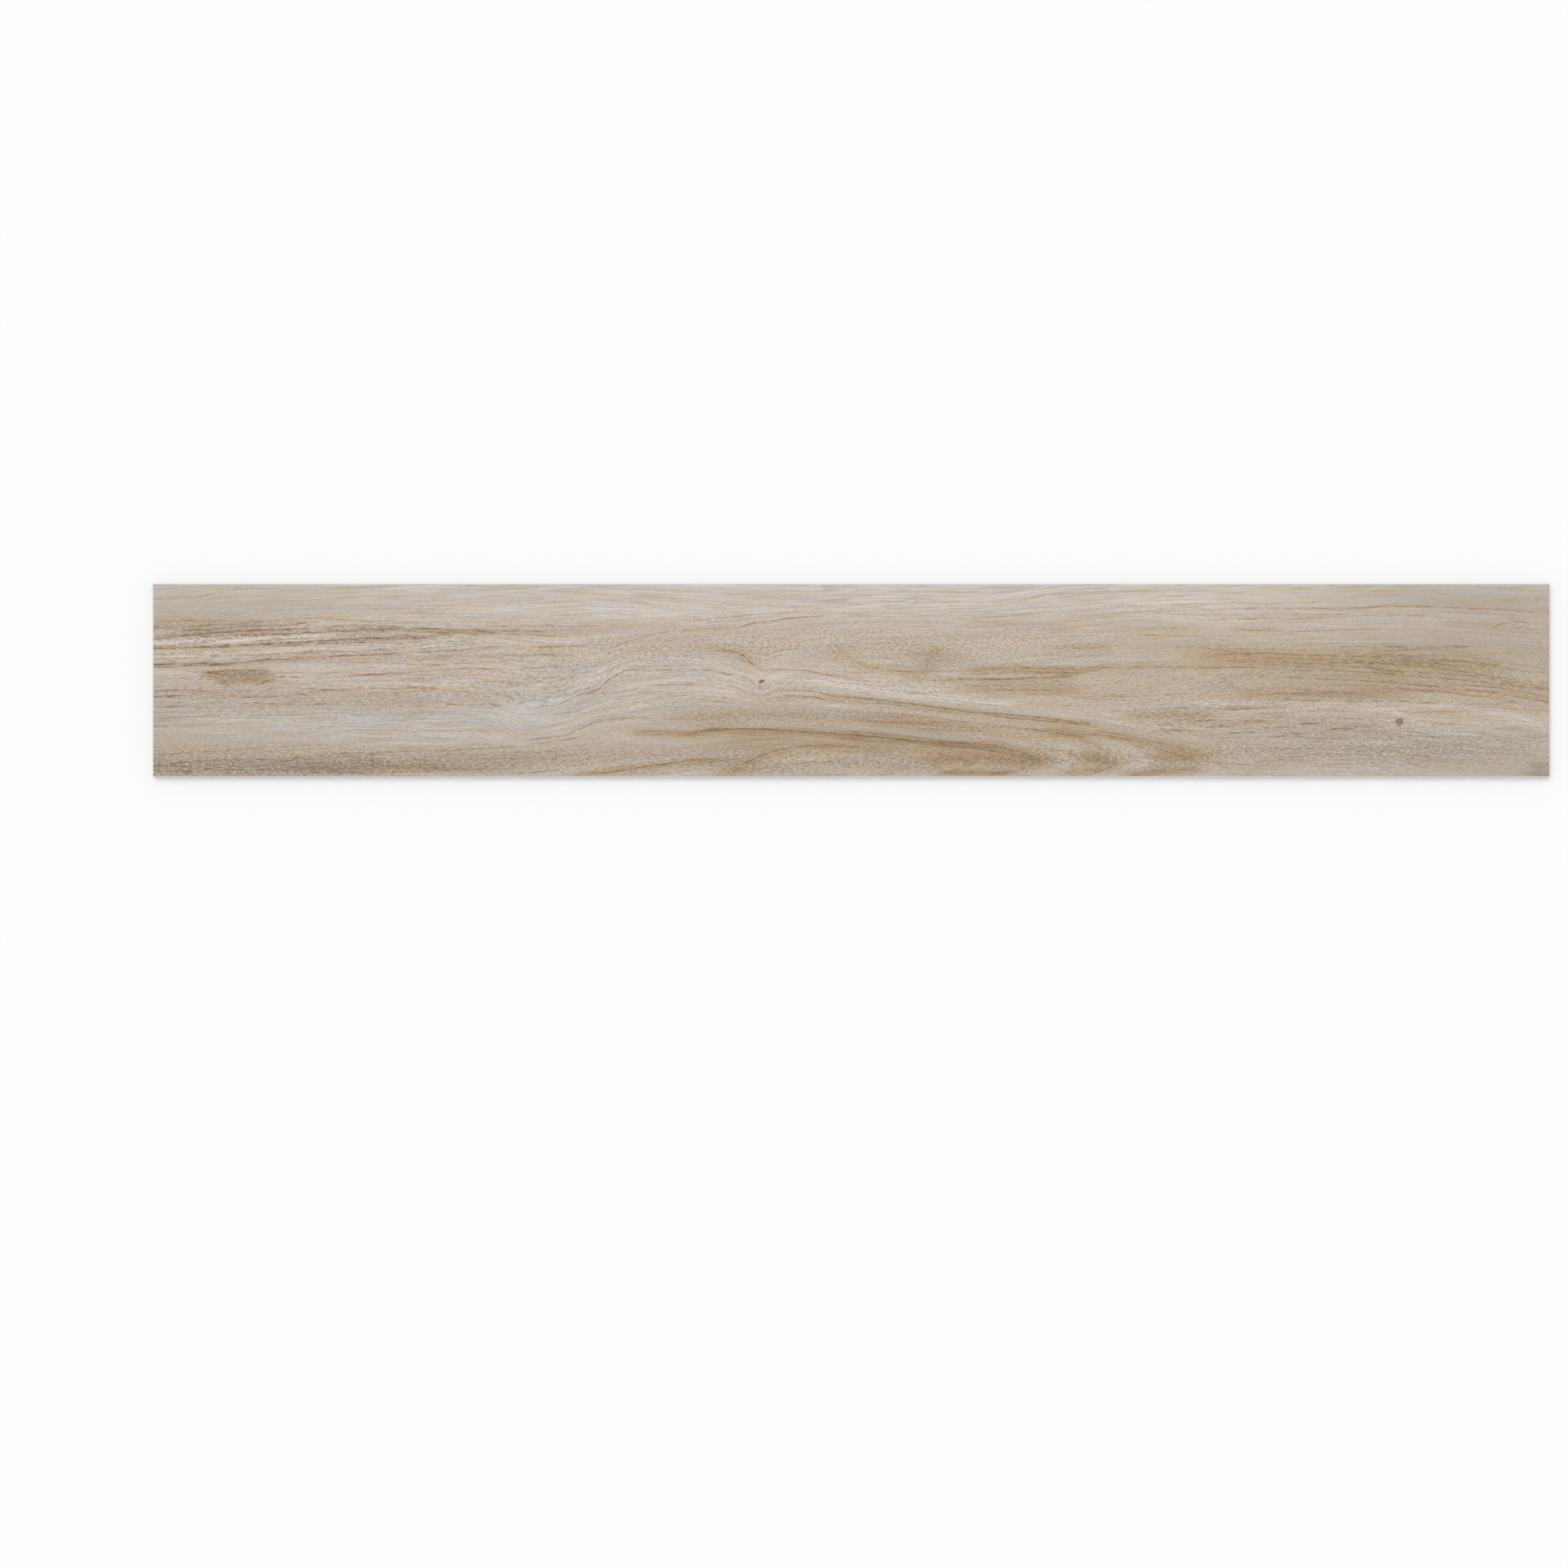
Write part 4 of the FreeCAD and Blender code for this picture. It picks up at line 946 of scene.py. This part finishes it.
def knotLayer(tree, spot, knot):
    unit = figureSheet["squareMm"]
    x = (knot["at"][0] - figureSheet["middle"][0]) * unit
    y = (figureSheet["middle"][1] - knot["at"][1]) * unit
    z = plankSizes["thickness"] * 1000
    size = (knot["half"][0] * unit, knot["half"][1] * unit, 1e6)  # too tall for the height to count
    inputs = {"Location": (x, y, z), "Rotation": (0, 0, math.radians(knot["turn"])), "Scale": size}
    local = addNode(tree, "ShaderNodeMapping", {"vector_type": "TEXTURE"}, inputs, {"Vector": spot})
    away = addNode(tree, "ShaderNodeVectorMath", {"operation": "LENGTH"}, links={0: local}).outputs["Value"]
    rim = addNode(tree, "ShaderNodeMapRange", {}, knotEdge, {"Value": away})
    heart = addNode(tree, "ShaderNodeMapRange", {}, {**knotHeart, "To Min": knot["heart"]}, {"Value": away})
    return addNode(tree, "ShaderNodeMath", multiply, {}, {0: rim, 1: heart})


def glazedPrint(settings):
    material, tree = emptyMaterial("glazedPorcelainWoodPrint")

    # mm on the plank; rings and fibres have their own height in place of the distance across
    place = addNode(tree, "ShaderNodeTexCoord").outputs["Object"]
    spot = addNode(tree, "ShaderNodeVectorMath", {"operation": "SCALE"}, {"Scale": 1000.0}, {0: place})
    along = addNode(tree, "ShaderNodeSeparateXYZ", links={0: spot}).outputs[0]
    rings, heightA, heightB = readAttribute(tree, "grainFlow")
    shareA, shareB, shareLoss = readAttribute(tree, "fibreShare")
    dusk, glow, pale = readAttribute(tree, "washTone")
    cool, fleck, speck = readAttribute(tree, "washGrain")
    inkNearest = readAttribute(tree, "inkNearest")
    inkAmount = readAttribute(tree, "inkAmount")

    def band(height, size, further=0.0):
        flat = addNode(tree, "ShaderNodeCombineXYZ", links={0: along, 1: height})
        # the pattern's own squares are turned, so that they don't stand in columns on the plank
        shift = size["shift"] + further
        turn = {"Rotation": (0, 0, settings["turn"]), "Location": (shift, shift, 0)}
        scale = {"Scale": (1 / size["along"], 1 / size["across"], 1)}
        scaled = addNode(tree, "ShaderNodeMapping", {}, {**turn, **scale}, {"Vector": flat})
        inputs = {**settings["noise"], "Detail": size["detail"]}
        return addNode(tree, "ShaderNodeTexNoise", {"noise_dimensions": "2D"}, inputs, {"Vector": scaled})

    def fibreBand(size):
        first, second = band(heightA, size), band(heightB, size, settings["apart"])
        blend = addNode(tree, "ShaderNodeMath", multiplyAdd, {}, {0: second, 1: shareB, 2: shareLoss})
        return addNode(tree, "ShaderNodeMath", multiplyAdd, {}, {0: first, 1: shareA, 2: blend})

    # long soft tones
    layers = [
        (band(rings, settings["tone"]), settings["tone"]["gain"]),
        (band(rings, settings["rings"]), settings["rings"]["gain"]),
    ]
    ground = settings["ground"] - sum(gain / 2 for _, gain in layers)

    # thin ring lines stand where a slow pattern passes its middle
    middle = band(rings, settings["ringLines"])
    middle = addNode(tree, "ShaderNodeMath", {"operation": "SUBTRACT"}, {1: 0.5}, {0: middle})
    middle = addNode(tree, "ShaderNodeMath", absolute, {}, {0: middle})
    edge = {"From Min": settings["ringLines"]["width"], "From Max": 0.0}
    ringLines = addNode(tree, "ShaderNodeMapRange", {}, edge, {"Value": middle})
    layers.append((ringLines, settings["ringLines"]["gain"]))

    # streaks, fibres and grit, rougher where the wood is coarse
    streak = fibreBand(settings["streak"])
    fibre = fibreBand(settings["fibre"])
    turned = {"Rotation": (0, 0, settings["grit"]["turn"])}
    turned = addNode(tree, "ShaderNodeMapping", {}, turned, {"Vector": spot})
    grit = {"Scale": 1 / settings["grit"]["size"], "Detail": 0.0}
    grit = addNode(tree, "ShaderNodeTexNoise", {"noise_dimensions": "2D"}, grit, {"Vector": turned})
    grain = addNode(tree, "ShaderNodeValue")
    grain.outputs[0].default_value = -sum(settings[name]["gain"] / 2 for name in ("streak", "fibre", "grit"))
    for name, source in (("streak", streak), ("fibre", fibre), ("grit", grit)):
        grain = addNode(tree, "ShaderNodeMath", multiplyAdd, {1: settings[name]["gain"]}, {0: source, 2: grain})
    shares = settings["coarse"]
    coarse = addNode(tree, "ShaderNodeMath", multiplyAdd, {1: shares["speck"], 2: shares["base"]}, {0: speck})
    coarse = addNode(tree, "ShaderNodeMath", multiplyAdd, {1: shares["fleck"]}, {0: fleck, 2: coarse})
    layers.append((addNode(tree, "ShaderNodeMath", multiply, {}, {0: grain, 1: coarse}), 1.0))

    # washes lie in streaks
    washMasks = {}
    brushed = addNode(tree, "ShaderNodeMapRange", {}, fromTo(settings["brushing"]), {"Value": streak})
    for name, wash in (("dusk", dusk), ("glow", glow), ("pale", pale)):
        washMasks[name] = addNode(tree, "ShaderNodeMath", multiply, {}, {0: wash, 1: brushed})
        layers.append((washMasks[name], settings[name]["gain"]))

    # pores are short crisp dashes, many where the wood is coarse, between them painted highlights of the relief
    drive = addNode(tree, "ShaderNodeMath", multiplyAdd, {1: settings["streakInDashes"]}, {0: streak, 2: fibre})
    for name in ("dashes", "paintedHighlights"):
        dash = addNode(tree, "ShaderNodeMapRange", {}, fromTo(settings[name]), {"Value": drive})
        dash = addNode(tree, "ShaderNodeMath", multiply, {}, {0: dash, 1: coarse})
        layers.append((dash, settings[name]["gain"]))

    # end grain near the knots and points is stippled
    stipple = fibreBand(settings["stipple"])
    stipple = addNode(tree, "ShaderNodeMapRange", {}, fromTo(settings["stippleRange"]), {"Value": stipple})
    stipple = addNode(tree, "ShaderNodeMath", multiply, {}, {0: stipple, 1: speck})
    layers.append((stipple, settings["stipple"]["gain"]))

    # what the ochre tint covers
    warm = addNode(tree, "ShaderNodeMath", multiply, {1: settings["stippleWarmth"]}, {0: stipple})
    warm = addNode(tree, "ShaderNodeMath", highest, {}, {0: washMasks["glow"], 1: warm})

    # drawn lines: ragged in place and in strength
    reach = settings["wander"]["reach"]
    wander = fibreBand(settings["wander"])
    wander = addNode(tree, "ShaderNodeMath", multiplyAdd, {1: reach, 2: -reach / 2}, {0: wander})
    for k in range(3):
        worn = band(rings, settings["wear"], settings["wear"]["apart"] * k)
        worn = addNode(tree, "ShaderNodeMapRange", {}, fromTo(settings["wearRange"]), {"Value": worn})
        away = addNode(tree, "ShaderNodeMath", add, {}, {0: inkNearest[k], 1: wander})
        away = addNode(tree, "ShaderNodeMath", absolute, {}, {0: away})
        soft = {"interpolation_type": "SMOOTHSTEP"}
        line = addNode(tree, "ShaderNodeMapRange", soft, fromTo(settings["ink"]), {"Value": away})
        line = addNode(tree, "ShaderNodeMath", multiply, {}, {0: line, 1: inkAmount[k]})
        line = addNode(tree, "ShaderNodeMath", multiply, {}, {0: line, 1: worn})
        layers.append((line, settings["ink"]["gain"]))
        warm = addNode(tree, "ShaderNodeMath", highest, {}, {0: line, 1: warm})
    for knot in knotSpots:
        mark = knotLayer(tree, spot, knot)
        layers.append((mark, -knot["dark"]))
        mark = addNode(tree, "ShaderNodeMath", multiply, {1: settings["knotWarmth"] * knot["dark"]}, {0: mark})
        warm = addNode(tree, "ShaderNodeMath", highest, {}, {0: mark, 1: warm})

    # every layer adds its share to one level, which the ramp turns into colour
    level = addNode(tree, "ShaderNodeValue")
    level.outputs[0].default_value = ground
    for mask, gain in layers:
        level = addNode(tree, "ShaderNodeMath", multiplyAdd, {1: gain}, {0: mask, 2: level})
    ramp = addNode(tree, "ShaderNodeValToRGB", links={0: level})
    stops = ramp.color_ramp.elements
    while len(stops) < len(settings["ramp"]):
        stops.new(0.5)
    for stop, (position, hexCode) in zip(stops, settings["ramp"]):
        stop.position = position
        stop.color = linearColour(hexCode)

    # the ochre and lilac washes tint it, and slow streaks lean a little to one or the other
    hue = band(heightA, settings["hue"])
    colour = ramp.outputs["Color"]
    mode = {"data_type": "RGBA", "blend_type": "MULTIPLY", "clamp_factor": True}
    for mask, wash in ((warm, settings["glow"]), (cool, settings["cool"])):
        lean = addNode(tree, "ShaderNodeMapRange", {}, fromTo(wash["lean"]), {"Value": hue})
        mask = addNode(tree, "ShaderNodeMath", add, {}, {0: mask, 1: lean})
        tint = {"B": linearColour(wash["tint"])}
        colour = addNode(tree, "ShaderNodeMix", mode, tint, {"A": colour, "Factor": mask}).outputs["Result"]

    bump = addNode(tree, "ShaderNodeBump", {}, settings["bump"], {"Height": level})
    links = {"Base Color": colour, "Normal": bump}
    glaze = addNode(tree, "ShaderNodeBsdfPrincipled", {}, settings["finish"], links)
    addNode(tree, "ShaderNodeOutputMaterial", links={"Surface": glaze})
    return material


# Ground and pressed porcelain body: fine white clay and feldspar fired until it is dense, with no glaze on it,
# so it is dull, even and nearly white, with fine dark and light grit where the wheel has cut it.
bodySettings = {
    "clay": "#e4e1e2",
    "clayDark": "#d3d0cf",
    "wash": "#ebe9e5",
    "grit": {"Scale": 1700.0, "Detail": 2.0},  # per metre: grit of about 0.6 mm
    "gritRange": {"From Min": 0.35, "From Max": 0.75},
    "cloud": {"Scale": 55.0, "Detail": 4.0},   # patches of about 18 mm
    "cloudRange": {"From Min": 0.38, "From Max": 0.56},
    "ribRange": {"From Min": 0.00025, "From Max": 0.00005},  # metres over the rib tops
    "bump": {"Strength": 0.3, "Distance": 0.0001},
    "finish": {"Roughness": 0.8, "IOR": 1.5},
}


def groundBody(settings):
    material, tree = emptyMaterial("groundPorcelainBody")
    place = addNode(tree, "ShaderNodeTexCoord").outputs["Object"]
    cloud = addNode(tree, "ShaderNodeTexNoise", {}, settings["cloud"], {"Vector": place})
    grit = addNode(tree, "ShaderNodeTexNoise", {}, settings["grit"], {"Vector": place})
    mode = {"data_type": "RGBA"}
    colours = {"A": linearColour(settings["clay"]), "B": linearColour(settings["clayDark"])}
    dark = addNode(tree, "ShaderNodeMapRange", {}, settings["gritRange"], {"Value": grit})
    clay = addNode(tree, "ShaderNodeMix", mode, colours, {"Factor": dark}).outputs["Result"]

    # a thin kiln wash is rolled on the ribs of the back, and wears through in places
    height = addNode(tree, "ShaderNodeSeparateXYZ", links={0: place}).outputs["Z"]
    onRibs = addNode(tree, "ShaderNodeMapRange", {}, settings["ribRange"], {"Value": height})
    patchy = addNode(tree, "ShaderNodeMapRange", {}, settings["cloudRange"], {"Value": cloud})
    washed = addNode(tree, "ShaderNodeMath", multiply, {}, {0: onRibs, 1: patchy})
    wash = {"B": linearColour(settings["wash"])}
    colour = addNode(tree, "ShaderNodeMix", mode, wash, {"Factor": washed, "A": clay}).outputs["Result"]
    bump = addNode(tree, "ShaderNodeBump", {}, settings["bump"], {"Height": grit})
    links = {"Base Color": colour, "Normal": bump}
    body = addNode(tree, "ShaderNodeBsdfPrincipled", {}, settings["finish"], links)
    addNode(tree, "ShaderNodeOutputMaterial", links={"Surface": body})
    return material


plank.data.materials.append(glazedPrint(printSettings))
plank.data.materials.append(groundBody(bodySettings))
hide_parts("porcelain_plank")
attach(plank, "root")
print("plank finished")


# Plain white floor and soft even light, set so that a colour renders about as it is written.
studio = {
    "floorHalf": 6.0,
    "floorDrop": 0.0004,
    "floorSeen": "#ffffff",
    "floorUnseen": "#d0d0d0",  # so that it throws less light back on the plank
    "worldStrength": 0.74,
    "sunStrength": 0.82,
    "sunAngle": 30.0,
    "sunTurn": (-20.0, 0.0, 30.0),
}


def seenShare(tree):
    # 1 for rays that show the background itself, straight or in a mirror or glass
    path = addNode(tree, "ShaderNodeLightPath").outputs
    seen = addNode(tree, "ShaderNodeMath", highest, {}, {0: path["Is Camera Ray"], 1: path["Is Glossy Ray"]})
    return addNode(tree, "ShaderNodeMath", highest, {}, {0: seen, 1: path["Is Transmission Ray"]})


def makeFloor(settings):
    bm = bmesh.new()
    place = Matrix.Translation((0, 0, -settings["floorDrop"]))
    bmesh.ops.create_grid(bm, x_segments=1, y_segments=1, size=settings["floorHalf"], matrix=place)
    mesh = bpy.data.meshes.new("studioFloor")
    bm.to_mesh(mesh)
    bm.free()

    material, tree = emptyMaterial("whitePaperFloor")
    colours = {"A": linearColour(settings["floorUnseen"]), "B": linearColour(settings["floorSeen"])}
    colour = addNode(tree, "ShaderNodeMix", {"data_type": "RGBA"}, colours, {"Factor": seenShare(tree)})
    paper = addNode(tree, "ShaderNodeBsdfDiffuse", links={"Color": colour.outputs["Result"]})
    addNode(tree, "ShaderNodeOutputMaterial", links={"Surface": paper})
    mesh.materials.append(material)
    return placeObject("studioFloor", mesh)


def makeLight(settings):
    world = bpy.data.worlds.new("studioWorld")
    bpy.context.scene.world = world
    world.use_nodes = True
    tree = world.node_tree
    tree.nodes.clear()
    strength = {"To Min": settings["worldStrength"], "To Max": 1.0}  # white where it is seen
    strength = addNode(tree, "ShaderNodeMapRange", {}, strength, {"Value": seenShare(tree)})
    sky = addNode(tree, "ShaderNodeBackground", {}, {"Color": (1, 1, 1, 1)}, {"Strength": strength})
    addNode(tree, "ShaderNodeOutputWorld", links={"Surface": sky})
    sun = bpy.data.lights.new("softSun", "SUN")
    sun.energy = settings["sunStrength"]
    sun.angle = math.radians(settings["sunAngle"])
    placeObject("softSun", sun).rotation_euler = [math.radians(a) for a in settings["sunTurn"]]


makeFloor(studio)
makeLight(studio)
bpy.context.scene.view_settings.view_transform = "Standard"
print("studio lit")
